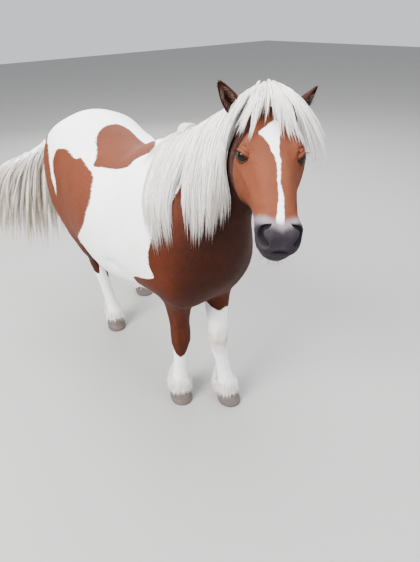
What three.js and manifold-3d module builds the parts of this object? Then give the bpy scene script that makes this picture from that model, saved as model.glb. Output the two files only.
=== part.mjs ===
// Shetland pony, standing with its head turned to its right: a life-size still model.
// Millimetres, +Z up, +X towards the pony's front, +Y to its left.
import * as THREE from 'three';
import { mergeVertices } from 'three/addons/utils/BufferGeometryUtils.js';
import Module from 'manifold-3d';

const wasm = await Module();
wasm.setup();

// Driving sizes
const GAP = 0.3;
const HEAD_YAW = -36.5;
const HEAD_DOWN = 31;
const HEAD_TILT = 5;
const POLL = [515, 72, 1064];
const HOOF = {
  height: 50,
  topRadius: 36,
  groundRadius: 42,
  heelLift: 20,
  length: 1.12,
  heelCut: 0.22,
  lean: 16,
  middle: -11,
};
const EYE_RADIUS = 19;
const EYE_PROUD = 6;
const EAR = { halfWidth: 21, wall: 6, flattening: 0.86, cupDepth: 0.8 };

// Hair: how far it keeps from the flesh, how it falls, and how thick its bunches lie
const HAIR_CLEARANCE = 3;
const HAIR_ROWS = 8;
const HAIR_FINENESS = 3;
const HAIR_LIFT = 12;
const SAG = 0.28;
const PARTING = 4;
const THICKNESS = { mane: 20, forelock: 16, tail: 44 };
const LOCK = { hollow: 0.7, ridge: 1.15, edge: 0.5, thinning: 0.75 };

// Widths of one step of the mesh in each part, which set how fine its facets are
const STEP = { trunk: 50, head: 22, upperLeg: 36, lowerLeg: 36 };

// Each leg: where its joints stand, from the elbow or stifle to the ground
const LEGS = {
  fore_right: {
    top: [260, -55, 470],
    knee: [250, -49, 285],
    fetlock: [236, -56, 82],
    hoof: [247, -66, 0],
    turn: -8,
  },
  fore_left: {
    top: [272, 95, 470],
    knee: [340, 43, 280],
    fetlock: [354, 68, 82],
    hoof: [366, 66, 0],
    turn: 4,
  },
  hind_right: {
    top: [-275, -118, 520],
    knee: [-350, -68, 330],
    fetlock: [-318, -45, 82],
    hoof: [-309, -50, 0],
    turn: -12,
  },
  hind_left: {
    top: [-300, 128, 520],
    knee: [-505, 160, 345],
    fetlock: [-492, 190, 82],
    hoof: [-481, 196, 0],
    turn: 10,
  },
};

const radians = (degrees) => THREE.MathUtils.degToRad(degrees);
const vector = (v) => new THREE.Vector3(...v);

// The head's own directions: along the face to the muzzle, down to the throat, and to the left
const headAlong = new THREE.Vector3(
  Math.cos(radians(HEAD_DOWN)) * Math.cos(radians(HEAD_YAW)),
  Math.cos(radians(HEAD_DOWN)) * Math.sin(radians(HEAD_YAW)),
  -Math.sin(radians(HEAD_DOWN)),
);
const levelLeft = new THREE.Vector3(-Math.sin(radians(HEAD_YAW)), Math.cos(radians(HEAD_YAW)), 0);
const levelUnder = new THREE.Vector3().crossVectors(headAlong, levelLeft).negate();
const headLeft = levelLeft.clone().applyAxisAngle(headAlong, -radians(HEAD_TILT));
const headUnder = levelUnder.clone().applyAxisAngle(headAlong, -radians(HEAD_TILT));

function inHead(along, under, left) {
  return vector(POLL)
    .addScaledVector(headAlong, along)
    .addScaledVector(headUnder, under)
    .addScaledVector(headLeft, left);
}

// Rounded union of two distances
function softMin(a, b, blend) {
  const h = Math.max(blend - Math.abs(a - b), 0) / blend;
  return Math.min(a, b) - (h * h * blend) / 4;
}

// A form swept through stations [centre, half width, reach over, reach under]
function sweep(stations, side, blend, corner = 2) {
  const centres = new THREE.CatmullRomCurve3(stations.map((s) => s[0].clone()), false, 'centripetal');
  const sizes = new THREE.CatmullRomCurve3(stations.map((s) => new THREE.Vector3(s[1], s[2], s[3])));
  const steps = (stations.length - 1) * 4;
  const samples = [];
  for (let i = 0; i <= steps; i += 1) {
    const centre = centres.getPoint(i / steps);
    const size = sizes.getPoint(i / steps);
    samples.push({ centre, size });
  }
  const spans = [];
  for (let i = 0; i < steps; i += 1) {
    const a = samples[i];
    const b = samples[i + 1];
    const along = b.centre.clone().sub(a.centre);
    const length = along.length();
    along.divideScalar(length);
    const across = side.clone().addScaledVector(along, -side.dot(along)).normalize();
    const over = new THREE.Vector3().crossVectors(along, across);
    spans.push({ a, b, along, across, over, length });
  }
  const box = new THREE.Box3();
  for (const { centre, size } of samples) {
    box.expandByPoint(centre.clone().addScalar(Math.max(size.x, size.y, size.z)));
    box.expandByPoint(centre.clone().subScalar(Math.max(size.x, size.y, size.z)));
  }
  const offset = new THREE.Vector3();
  function distance(p) {
    let best = Infinity;
    for (const { a, b, along, across, over, length } of spans) {
      offset.subVectors(p, a.centre);
      const reach = offset.dot(along);
      const t = Math.min(Math.max(reach / length, 0), 1);
      const overrun = reach - t * length;
      const u = offset.dot(across);
      const v = offset.dot(over);
      const wide = a.size.x + (b.size.x - a.size.x) * t;
      const deep = v > 0 ? a.size.y + (b.size.y - a.size.y) * t : a.size.z + (b.size.z - a.size.z) * t;
      const round = Math.min(wide, deep);
      const ring = (Math.abs(u) / wide) ** corner + (Math.abs(v) / deep) ** corner;
      const ratio = Math.hypot(ring ** (1 / corner), overrun / round);
      const away = Math.hypot(u, v, overrun);
      const d = ratio > 1e-6 ? away * (1 - 1 / ratio) : -round;
      if (d < best) {
        best = d;
      }
    }
    return best;
  }
  return { distance, blend, box };
}

// An egg-shaped mass with its own three directions
function mass(centre, radii, blend, turn = new THREE.Matrix4()) {
  const inverse = turn.clone().invert();
  const offset = new THREE.Vector3();
  const widest = Math.max(...radii);
  const box = new THREE.Box3().setFromCenterAndSize(centre, new THREE.Vector3().setScalar(2 * widest));
  function distance(p) {
    offset.subVectors(p, centre).applyMatrix4(inverse);
    const away = offset.length();
    const ratio = Math.hypot(offset.x / radii[0], offset.y / radii[1], offset.z / radii[2]);
    return ratio > 1e-6 ? away * (1 - 1 / ratio) : -Math.min(...radii);
  }
  return { distance, blend, box };
}

// Joined forms, each met by a rounded fillet of its own size
function joined(forms) {
  return (p) => {
    let d = 1e4;
    for (const form of forms) {
      if (form.box.distanceToPoint(p) < form.blend + 40) {
        d = softMin(d, form.distance(p), form.blend);
      }
    }
    return d;
  };
}

const toLeft = new THREE.Vector3(0, 1, 0);
const headTurn = new THREE.Matrix4().makeBasis(headAlong, headUnder, headLeft);

// Trunk: [x, y, middle height, half width, up, down] from the buttocks to the breast
const TRUNK = [
  [-468, 8, 742, 88, 112, 112],
  [-420, 8, 730, 146, 188, 176],
  [-340, 6, 714, 186, 236, 200],
  [-220, 3, 692, 204, 230, 212],
  [-100, 0, 670, 226, 225, 252],
  [20, 0, 659, 237, 224, 250],
  [130, -2, 659, 222, 240, 218],
  [215, -4, 664, 200, 261, 208],
  [290, -4, 655, 176, 228, 190],
  [340, -4, 632, 126, 150, 140],
  [366, -4, 615, 66, 74, 74],
];

// Neck: [x, y, z, half width, crest, throat]
const NECK = [
  [250, 0, 715, 112, 170, 150],
  [325, 15, 800, 102, 158, 135],
  [402, 42, 882, 86, 130, 116],
  [462, 66, 944, 72, 98, 90],
  [502, 82, 984, 56, 64, 62],
];

function trunkForms() {
  const rows = TRUNK.map(([x, y, z, ...r]) => [new THREE.Vector3(x, y, z), ...r]);
  const forms = [sweep(rows, toLeft, 40, 2.15)];
  const blade = new THREE.Matrix4().makeRotationY(radians(-24));
  const ham = new THREE.Matrix4().makeRotationY(radians(-14));
  for (const s of [-1, 1]) {
    forms.push(mass(new THREE.Vector3(-345, s * 112 + 6, 740), [140, 88, 160], 60));
    forms.push(mass(new THREE.Vector3(-350, s * 122 + 6, 610), [112, 74, 112], 60));
    forms.push(mass(new THREE.Vector3(-452, s * 74 + 8, 690), [74, 68, 150], 50, ham));
    forms.push(mass(new THREE.Vector3(262, s * 122, 700), [88, 64, 185], 60, blade));
    forms.push(mass(new THREE.Vector3(340, s * 98, 596), [68, 60, 80], 50));
    forms.push(mass(new THREE.Vector3(228, s * 92, 578), [78, 50, 80], 50));
    forms.push(mass(new THREE.Vector3(322, s * 60, 520), [62, 58, 68], 45));
  }
  forms.push(mass(new THREE.Vector3(195, 0, 850), [130, 52, 72], 70));
  forms.push(mass(new THREE.Vector3(-470, 8, 838), [62, 40, 36], 40));
  return forms;
}

function neckForms() {
  const rows = NECK.map(([x, y, z, ...r]) => [new THREE.Vector3(x, y, z), ...r]);
  return [sweep(rows, new THREE.Vector3(-0.35, 0.93, 0), 60)];
}

// Skull with the bridge of the nose: [along, under, half width, over, under]
const SKULL = [
  [22, 46, 58, 42, 50],
  [50, 47, 67, 50, 66],
  [88, 48, 71, 51, 70],
  [122, 48, 71, 50, 66],
  [166, 48, 61, 48, 58],
  [214, 48, 53, 46, 52],
  [260, 48, 48, 43, 48],
  [302, 49, 43, 41, 48],
  [330, 54, 39, 40, 46],
];

// Lower jaw from its angle to the chin: [along, under, half width, over, under]
const JAW = [
  [80, 100, 48, 60, 44],
  [110, 112, 54, 60, 48],
  [152, 110, 55, 56, 40],
  [204, 98, 44, 44, 34],
  [258, 86, 34, 38, 29],
  [306, 84, 31, 34, 27],
  [330, 86, 28, 30, 26],
];

function headForms() {
  const along = ([a, u, ...r]) => [inHead(a, u, 0), ...r];
  const forms = [sweep(SKULL.map(along), headLeft, 16, 2.3), sweep(JAW.map(along), headLeft, 26, 2.2)];
  for (const s of [-1, 1]) {
    forms.push(mass(inHead(122, 96, s * 44), [82, 58, 37], 24, headTurn));
    forms.push(mass(inHead(114, 28, s * 55), [35, 24, 21], 18, headTurn));
    forms.push(mass(inHead(112, 64, s * 54), [52, 34, 28], 22, headTurn));
    forms.push(mass(inHead(334, 42, s * 26), [26, 26, 18], 14, headTurn));
  }
  forms.push(mass(inHead(336, 64, 0), [32, 36, 37], 18, headTurn));
  forms.push(mass(inHead(328, 100, 0), [28, 16, 27], 16, headTurn));
  return forms;
}

// Sizes down a leg: [share of the way from one joint to the next, half width, front, back]
const FORELEG = {
  upper: [[-0.25, 50, 64, 64], [0.0, 46, 57, 58], [0.35, 41, 47, 48], [0.7, 34, 37, 38], [1.0, 37, 38, 36]],
  lower: [[0.22, 28, 27, 31], [0.5, 22, 22, 29], [0.78, 24, 24, 33], [1.0, 31, 30, 46]],
  foot: [[0.32, 30, 28, 42], [0.62, 36, 36, 34], [1.05, 40, 42, 36]],
};
const HINDLEG = {
  upper: [[-0.2, 66, 90, 96], [0.0, 62, 76, 82], [0.4, 49, 60, 64], [0.75, 34, 38, 47], [1.0, 34, 37, 46]],
  lower: [[0.2, 27, 28, 36], [0.5, 23, 23, 30], [0.78, 24, 24, 34], [1.0, 31, 30, 46]],
  foot: [[0.32, 30, 28, 42], [0.62, 36, 36, 34], [1.05, 40, 42, 36]],
};

function legRows(name) {
  const { top, knee, fetlock, hoof } = LEGS[name];
  const sizes = name.startsWith('fore') ? FORELEG : HINDLEG;
  const stretches = [[top, knee, sizes.upper], [knee, fetlock, sizes.lower], [fetlock, hoof, sizes.foot]];
  return stretches.flatMap(([from, to, rows]) => (
    rows.map(([share, ...r]) => [vector(from).lerp(vector(to), share), ...r])
  ));
}

const legForms = Object.keys(LEGS).map((name) => sweep(legRows(name), toLeft, 45));
const hocks = ['hind_right', 'hind_left'].map((name) => {
  const [x, y, z] = LEGS[name].knee;
  return mass(new THREE.Vector3(x - 32, y, z + 14), [20, 20, 32], 22);
});

const flesh = joined([...trunkForms(), ...neckForms(), ...headForms(), ...legForms, ...hocks]);

function slopeOf(field, p) {
  const d = field(p);
  return new THREE.Vector3(
    field(new THREE.Vector3(p.x + 1, p.y, p.z)) - d,
    field(new THREE.Vector3(p.x, p.y + 1, p.z)) - d,
    field(new THREE.Vector3(p.x, p.y, p.z + 1)) - d,
  );
}

// Closed mesh of the surface where a field is zero, on a grid of cubes, inside a box
function polygonize(field, box, step) {
  const size = box.getSize(new THREE.Vector3());
  const counts = [size.x, size.y, size.z].map((s) => Math.ceil(s / step) + 3);
  const [nx, ny, nz] = counts;
  const origin = box.min.clone().subScalar(1.37 * step);
  const at = (i, j, k) => new THREE.Vector3(i, j, k).multiplyScalar(step).add(origin);
  const inner = box.clone();
  const middle = inner.getCenter(new THREE.Vector3());
  const half = inner.getSize(new THREE.Vector3()).multiplyScalar(0.5);
  const clipped = (p) => {
    const wall = Math.max(
      Math.abs(p.x - middle.x) - half.x,
      Math.abs(p.y - middle.y) - half.y,
      Math.abs(p.z - middle.z) - half.z,
    );
    return wall > -0.2 * step ? Math.max(field(p), wall) : field(p);
  };
  const values = new Float64Array(nx * ny * nz);
  const index = (i, j, k) => (k * ny + j) * nx + i;
  for (let k = 0; k < nz; k += 1) {
    for (let j = 0; j < ny; j += 1) {
      for (let i = 0; i < nx; i += 1) {
        values[index(i, j, k)] = clipped(at(i, j, k));
      }
    }
  }
  const corners = Array.from({ length: 8 }, (_, n) => [n & 1, (n >> 1) & 1, n >> 2]);
  const edges = [1, 2, 4].flatMap((bit) => (
    corners.map((_, n) => [n, n + bit]).filter(([n]) => (n & bit) === 0)
  ));
  const cellVertex = new Map();
  const positions = [];
  for (let k = 0; k < nz - 1; k += 1) {
    for (let j = 0; j < ny - 1; j += 1) {
      for (let i = 0; i < nx - 1; i += 1) {
        const v = corners.map(([a, b, c]) => values[index(i + a, j + b, k + c)]);
        const sum = new THREE.Vector3();
        let crossings = 0;
        for (const [a, b] of edges) {
          if (v[a] < 0 !== v[b] < 0) {
            const t = v[a] / (v[a] - v[b]);
            const from = new THREE.Vector3(...corners[a]);
            sum.add(from.lerp(new THREE.Vector3(...corners[b]), t));
            crossings += 1;
          }
        }
        if (crossings > 0) {
          const inCell = sum.divideScalar(crossings);
          const p = inCell.add(new THREE.Vector3(i, j, k)).multiplyScalar(step).add(origin);
          const start = p.clone();
          for (let n = 0; n < 3; n += 1) {
            const d = clipped(p);
            const g = slopeOf(clipped, p);
            p.addScaledVector(g, (-0.9 * d) / Math.max(g.lengthSq(), 0.2));
          }
          const drift = p.clone().sub(start);
          if (drift.length() > 0.7 * step) {
            p.copy(start).addScaledVector(drift, (0.7 * step) / drift.length());
          }
          cellVertex.set(index(i, j, k), positions.length / 3);
          positions.push(p.x, p.y, p.z);
        }
      }
    }
  }
  const triangles = [];
  const quad = (a, b, c, d, flip) => {
    const [p, q, r, s] = [a, b, c, d].map((n) => cellVertex.get(n));
    const corner = (n) => new THREE.Vector3().fromArray(positions, 3 * n);
    const shortest = corner(p).distanceTo(corner(r)) <= corner(q).distanceTo(corner(s));
    const pair = shortest ? [[p, q, r], [p, r, s]] : [[p, q, s], [q, r, s]];
    for (const [x, y, z] of pair) {
      triangles.push(...(flip ? [x, z, y] : [x, y, z]));
    }
  };
  for (let k = 1; k < nz - 1; k += 1) {
    for (let j = 1; j < ny - 1; j += 1) {
      for (let i = 1; i < nx - 1; i += 1) {
        const here = values[index(i, j, k)] < 0;
        if (here !== values[index(i + 1, j, k)] < 0) {
          quad(index(i, j - 1, k - 1), index(i, j, k - 1), index(i, j, k), index(i, j - 1, k), !here);
        }
        if (here !== values[index(i, j + 1, k)] < 0) {
          quad(index(i - 1, j, k - 1), index(i - 1, j, k), index(i, j, k), index(i, j, k - 1), !here);
        }
        if (here !== values[index(i, j, k + 1)] < 0) {
          quad(index(i - 1, j - 1, k), index(i, j - 1, k), index(i, j, k), index(i - 1, j, k), !here);
        }
      }
    }
  }
  const geometry = new THREE.BufferGeometry();
  geometry.setAttribute('position', new THREE.Float32BufferAttribute(positions, 3));
  geometry.setIndex(triangles);
  return geometry;
}

// Solids for joining and cutting, and back again
function solidOf(geometry) {
  const bare = geometry.clone();
  bare.deleteAttribute('normal');
  bare.deleteAttribute('uv');
  const merged = mergeVertices(bare, 1e-3);
  return new wasm.Manifold(new wasm.Mesh({
    numProp: 3,
    vertProperties: new Float32Array(merged.attributes.position.array),
    triVerts: new Uint32Array(merged.index.array),
  }));
}

function geometryOf(solid) {
  const mesh = solid.getMesh();
  const geometry = new THREE.BufferGeometry();
  geometry.setAttribute('position', new THREE.BufferAttribute(mesh.vertProperties, 3));
  geometry.setIndex(new THREE.BufferAttribute(mesh.triVerts, 1));
  return geometry;
}

// The largest piece of a solid, without the chips that a cut can leave
function largestPiece(solid) {
  const mesh = solid.getMesh();
  const corners = mesh.triVerts;
  const count = corners.length / 3;
  const parent = Array.from({ length: count }, (_, i) => i);
  const rootOf = (start) => {
    let n = start;
    while (parent[n] !== n) {
      parent[n] = parent[parent[n]];
      n = parent[n];
    }
    return n;
  };
  const across = new Map();
  for (let t = 0; t < count; t += 1) {
    for (let k = 0; k < 3; k += 1) {
      const ends = [corners[3 * t + k], corners[3 * t + ((k + 1) % 3)]];
      const edge = `${Math.min(...ends)} ${Math.max(...ends)}`;
      if (across.has(edge)) {
        parent[rootOf(t)] = rootOf(across.get(edge));
      }
      across.set(edge, t);
    }
  }
  const sizes = new Map();
  for (let t = 0; t < count; t += 1) {
    sizes.set(rootOf(t), (sizes.get(rootOf(t)) ?? 0) + 1);
  }
  const largest = [...sizes].reduce((a, b) => (b[1] > a[1] ? b : a))[0];
  const kept = [...corners].filter((_, i) => rootOf(Math.floor(i / 3)) === largest);
  const geometry = new THREE.BufferGeometry();
  geometry.setAttribute('position', new THREE.BufferAttribute(mesh.vertProperties, 3));
  geometry.setIndex(kept);
  return solidOf(geometry);
}

// Closed tube through the same kind of stations as a sweep, with a flat or a pointed end
function tube(rows, side, sides, rings) {
  const centres = new THREE.CatmullRomCurve3(rows.map((s) => s[0].clone()), false, 'centripetal');
  const sizes = new THREE.CatmullRomCurve3(rows.map((s) => new THREE.Vector3(s[1], s[2], s[3])));
  const positions = [];
  for (let r = 0; r <= rings; r += 1) {
    const share = r / rings;
    const centre = centres.getPoint(share);
    const size = sizes.getPoint(share);
    const along = centres.getTangent(share);
    const across = side.clone().addScaledVector(along, -side.dot(along)).normalize();
    const over = new THREE.Vector3().crossVectors(along, across);
    for (let i = 0; i < sides; i += 1) {
      const angle = (2 * Math.PI * (i + 0.5)) / sides;
      const deep = Math.sin(angle) > 0 ? size.y : size.z;
      positions.push(...centre.clone()
        .addScaledVector(across, size.x * Math.cos(angle))
        .addScaledVector(over, deep * Math.sin(angle))
        .toArray());
    }
  }
  positions.push(...rows[0][0].toArray(), ...rows[rows.length - 1][0].toArray());
  const first = sides * (rings + 1);
  const triangles = [];
  for (let i = 0; i < sides; i += 1) {
    const next = (i + 1) % sides;
    for (let r = 0; r < rings; r += 1) {
      const [a, b, c, d] = [i, next, next + sides, i + sides].map((n) => n + r * sides);
      triangles.push(a, b, c, a, c, d);
    }
    triangles.push(first, next, i, first + 1, rings * sides + i, rings * sides + next);
  }
  const geometry = new THREE.BufferGeometry();
  geometry.setAttribute('position', new THREE.Float32BufferAttribute(positions, 3));
  geometry.setIndex(triangles);
  return solidOf(geometry);
}

// Parting planes, each with a point on it and the direction that its far side lies in
const BLOCK = 3000;
const headPlaneNormal = headAlong.clone().multiplyScalar(0.951).addScaledVector(headUnder, -0.307);
const CUTS = {
  poll: { point: inHead(8, 20, 0), normal: headPlaneNormal },
  throat: { point: inHead(60, 168, 0), normal: headAlong.clone().multiplyScalar(0.25).sub(headUnder) },
  neck: { point: new THREE.Vector3(322, 0, 812), normal: new THREE.Vector3(0.62, 0, 0.78) },
  girth: { point: new THREE.Vector3(128, 0, 650), normal: new THREE.Vector3(1, 0, 0) },
  loin: { point: new THREE.Vector3(-190, 0, 650), normal: new THREE.Vector3(1, 0, 0) },
};

function block(point, normal, far) {
  const geometry = new THREE.BoxGeometry(BLOCK, BLOCK, BLOCK);
  const direction = normal.clone().normalize().multiplyScalar(far ? 1 : -1);
  const turn = new THREE.Quaternion().setFromUnitVectors(new THREE.Vector3(0, 0, 1), direction);
  geometry.applyQuaternion(turn);
  geometry.translate(...point.clone().addScaledVector(direction, BLOCK / 2 + GAP / 2).toArray());
  return solidOf(geometry);
}

const beyond = ({ point, normal }) => block(point, normal, true);
const before = ({ point, normal }) => block(point, normal, false);

// Where each leg leaves the trunk: two planes round its top, and the midline between a pair
function legTop(name) {
  const fore = name.startsWith('fore');
  const side = name.endsWith('left') ? 1 : -1;
  const under = fore ? new THREE.Vector3(0, side * 0.6, -0.8) : new THREE.Vector3(0, side * 0.66, -0.75);
  const crotch = fore ? new THREE.Vector3(270, side * 14, 445) : new THREE.Vector3(-330, side * 16, 515);
  const front = fore ? new THREE.Vector3(1, 0, 0.35) : new THREE.Vector3(-1, 0, -0.3);
  const edge = fore ? new THREE.Vector3(150, 0, 470) : new THREE.Vector3(-212, 0, 500);
  const outward = new THREE.Vector3(0, side, 0);
  return [
    { point: crotch, normal: under },
    { point: edge, normal: front },
    { point: new THREE.Vector3(), normal: outward },
  ];
}

function region(cuts) {
  return cuts.map(([cut, far]) => (far ? beyond(cut) : before(cut))).reduce((a, b) => a.intersect(b));
}

// The same region, grown past the gap, as the space that one part leaves for another
function spaceBeyond(cuts) {
  return region(cuts.map(({ point, normal }) => {
    const back = point.clone().addScaledVector(normal.clone().normalize(), -GAP);
    return [{ point: back, normal }, true];
  }));
}

// Part of the flesh in a box, with facets of the given size, grown by a reach
function fleshIn(box, step, reach = 0) {
  return solidOf(polygonize((p) => flesh(p) - reach, box, step));
}

const boxOf = (min, max) => new THREE.Box3(new THREE.Vector3(...min), new THREE.Vector3(...max));

// Hoof: a blunt cone with a flat sole, its top tilted down to the heel
const HOOF_SLOPE = (HOOF.height - HOOF.heelLift) / (2 * HOOF.topRadius);
const crownHeight = HOOF.height - HOOF_SLOPE * HOOF.topRadius;

function hoofPoint(angle, share) {
  const radius = THREE.MathUtils.lerp(HOOF.groundRadius, HOOF.topRadius, share);
  const heel = Math.max(0, -Math.cos(angle)) ** 3 * HOOF.heelCut;
  const x = radius * (HOOF.length - heel) * Math.cos(angle) - HOOF.lean * share + HOOF.lean + HOOF.middle;
  const y = radius * Math.sin(angle);
  const z = share * (crownHeight + HOOF_SLOPE * (x - HOOF.middle));
  return [x, y, z];
}

function hoofSolid(name) {
  const { hoof: [x, y], turn } = LEGS[name];
  const around = 16;
  const shares = [0, 0.12, 1];
  const positions = [];
  for (const share of shares) {
    for (let i = 0; i < around; i += 1) {
      const inset = share === 0 ? 0.97 : 1;
      const [px, py, pz] = hoofPoint((2 * Math.PI * i) / around, share);
      positions.push(px * inset, py * inset, pz);
    }
  }
  const triangles = [];
  for (let level = 0; level < shares.length - 1; level += 1) {
    for (let i = 0; i < around; i += 1) {
      const next = (i + 1) % around;
      const [a, b, c, d] = [i, next, next + around, i + around].map((n) => n + level * around);
      triangles.push(a, b, c, a, c, d);
    }
  }
  const top = (shares.length - 1) * around;
  for (let i = 1; i < around - 1; i += 1) {
    triangles.push(0, i + 1, i, top, top + i, top + i + 1);
  }
  const geometry = new THREE.BufferGeometry();
  geometry.setAttribute('position', new THREE.Float32BufferAttribute(positions, 3));
  geometry.setIndex(triangles);
  geometry.rotateZ(radians(turn));
  geometry.translate(x, y, 0);
  return solidOf(geometry);
}

function crownCut(name) {
  const { hoof: [x, y], turn } = LEGS[name];
  const toe = new THREE.Vector3(1, 0, 0).applyAxisAngle(new THREE.Vector3(0, 0, 1), radians(turn));
  const point = new THREE.Vector3(x, y, crownHeight + GAP / 2).addScaledVector(toe, HOOF.middle);
  return { point, normal: new THREE.Vector3(0, 0, 1).addScaledVector(toe, -HOOF_SLOPE) };
}

// Closed slab between an outer and an inner sheet, each a grid of rows and columns
function slab(rows, columns, place) {
  const positions = [];
  for (const inner of [false, true]) {
    for (let r = 0; r <= rows; r += 1) {
      for (let c = 0; c <= columns; c += 1) {
        positions.push(...place(r, c, inner).toArray());
      }
    }
  }
  const sheet = (rows + 1) * (columns + 1);
  const at = (r, c, inner) => (inner ? sheet : 0) + r * (columns + 1) + c;
  const triangles = [];
  const quad = (a, b, c, d) => triangles.push(a, c, b, a, d, c);
  for (let r = 0; r < rows; r += 1) {
    for (let c = 0; c < columns; c += 1) {
      quad(at(r, c, false), at(r, c + 1, false), at(r + 1, c + 1, false), at(r + 1, c, false));
      quad(at(r, c, true), at(r + 1, c, true), at(r + 1, c + 1, true), at(r, c + 1, true));
    }
    quad(at(r, 0, false), at(r + 1, 0, false), at(r + 1, 0, true), at(r, 0, true));
    quad(at(r, columns, false), at(r, columns, true), at(r + 1, columns, true), at(r + 1, columns, false));
  }
  for (let c = 0; c < columns; c += 1) {
    quad(at(0, c, false), at(0, c, true), at(0, c + 1, true), at(0, c + 1, false));
    quad(at(rows, c, false), at(rows, c + 1, false), at(rows, c + 1, true), at(rows, c, true));
  }
  const geometry = new THREE.BufferGeometry();
  geometry.setAttribute('position', new THREE.Float32BufferAttribute(positions, 3));
  geometry.setIndex(triangles);
  return solidOf(geometry);
}

// Ear: a leaf rolled into an open cup, closed at its rim, standing on the skull
const EAR_PLACES = {
  ear_right: { root: inHead(16, 26, -63), tip: inHead(-20, -30, -114), cup: [0.6, -0.7, 0.1] },
  ear_left: { root: inHead(16, 26, 59), tip: inHead(-20, -24, 106), cup: [0.65, 0.35, 0.1] },
};

function earSolid({ root, tip, cup }, swell = 0) {
  const up = tip.clone().sub(root);
  const length = up.length();
  up.normalize();
  const facing = vector(cup).addScaledVector(up, -vector(cup).dot(up)).normalize();
  const across = new THREE.Vector3().crossVectors(up, facing);
  const rows = 6;
  const columns = 4;
  const place = (r, c, inner) => {
    const t = r / rows;
    const width = EAR.halfWidth * Math.sin(Math.PI * (0.24 + 0.76 * t) ** 0.8) ** 0.8 + EAR.wall / 2;
    const wrap = THREE.MathUtils.lerp(2.5, 1.5, t) * (1 + swell / width);
    const angle = ((2 * c) / columns - 1) * wrap;
    const reach = width * (inner ? 1 : 1 + EAR.wall / (width + EAR.wall));
    const depth = reach * (1 - Math.cos(angle)) * EAR.cupDepth - (inner ? 0 : EAR.wall / 2);
    const thicker = inner ? -swell : swell;
    return root.clone()
      .addScaledVector(up, t * (length + swell))
      .addScaledVector(across, (reach * EAR.flattening + thicker) * Math.sin(angle))
      .addScaledVector(facing, depth - width * 0.5 - thicker * Math.cos(angle));
  };
  return slab(rows, columns, place);
}

// Each eye stands a little proud of the skull, where its gaze leaves it
function eyeCentre(side) {
  const gaze = headAlong.clone().multiplyScalar(0.55)
    .addScaledVector(headUnder, -0.33)
    .addScaledVector(headLeft, side * 0.77)
    .normalize();
  const p = inHead(133, 32, side * 54).addScaledVector(gaze, 80);
  while (flesh(p) > 0.2) {
    p.addScaledVector(gaze, -Math.max(0.1, 0.5 * flesh(p)));
  }
  return p.addScaledVector(gaze, EYE_PROUD - EYE_RADIUS);
}

const EYES = {
  eye_right: eyeCentre(-1),
  eye_left: eyeCentre(1),
};

function ball(centre, radius, around = 10) {
  const geometry = new THREE.SphereGeometry(radius, around, around / 2);
  geometry.translate(...centre.toArray());
  return solidOf(geometry);
}

// A path of hair laid over the body: it leaves in a direction, sinks, and never enters the flesh
function drape(start, heading, length, lift) {
  const p = start.clone();
  const direction = heading.clone().normalize();
  const points = [p.clone()];
  const strides = HAIR_ROWS * HAIR_FINENESS;
  for (let n = 1; n <= strides; n += 1) {
    direction.z -= SAG;
    direction.normalize();
    const last = p.clone();
    p.addScaledVector(direction, length / strides);
    for (let pass = 0; pass < 3; pass += 1) {
      const d = flesh(p) - lift;
      if (d < 0) {
        const g = slopeOf(flesh, p);
        p.addScaledVector(g, -d / Math.max(g.lengthSq(), 0.3));
      }
    }
    direction.subVectors(p, last).normalize();
    if (n % HAIR_FINENESS === 0) {
      points.push(p.clone());
    }
  }
  return points;
}

// A bunch of hair over neighbouring paths, ridged from lock to lock and thin at its tips
function bunch(paths, thickness) {
  const rows = paths[0].length - 1;
  const columns = paths.length - 1;
  const place = (r, c, inner) => {
    const here = paths[c][r];
    if (inner) {
      return here.clone();
    }
    const down = paths[c][Math.min(r + 1, rows)].clone().sub(paths[c][Math.max(r - 1, 0)]);
    const over = paths[Math.min(c + 1, columns)][r].clone().sub(paths[Math.max(c - 1, 0)][r]);
    const out = down.cross(over).normalize();
    const ridge = c % 2 === 0 ? LOCK.hollow : LOCK.ridge;
    const edge = c === 0 || c === columns ? LOCK.edge : 1;
    const tip = 1 - LOCK.thinning * (r / rows) ** 3;
    return here.clone().addScaledVector(out, thickness * ridge * edge * tip);
  };
  return slab(rows, columns, place);
}

// Crest of the neck from behind the ears to the withers
const CREST = new THREE.CatmullRomCurve3([
  inHead(-36, -12, 0),
  new THREE.Vector3(430, 50, 1052),
  new THREE.Vector3(335, 14, 992),
  new THREE.Vector3(236, 0, 930),
]);

// One side of the mane: it leaves the crest and falls over the neck and shoulder
function maneSide(side, columns, reach) {
  const paths = [];
  for (let c = 0; c <= columns; c += 1) {
    const share = side > 0 ? c / columns : 1 - c / columns;
    const along = CREST.getTangent(share);
    const away = new THREE.Vector3().crossVectors(along, new THREE.Vector3(0, 0, side)).normalize();
    const start = CREST.getPoint(share).addScaledVector(away, PARTING);
    const heading = away.setZ(0.1).addScaledVector(along, 0.35 - 0.55 * share);
    const length = reach(share) * (c % 2 === 0 ? 0.93 : 1);
    paths.push(drape(start, heading, length, HAIR_LIFT));
  }
  return bunch(paths, THICKNESS.mane);
}

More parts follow.
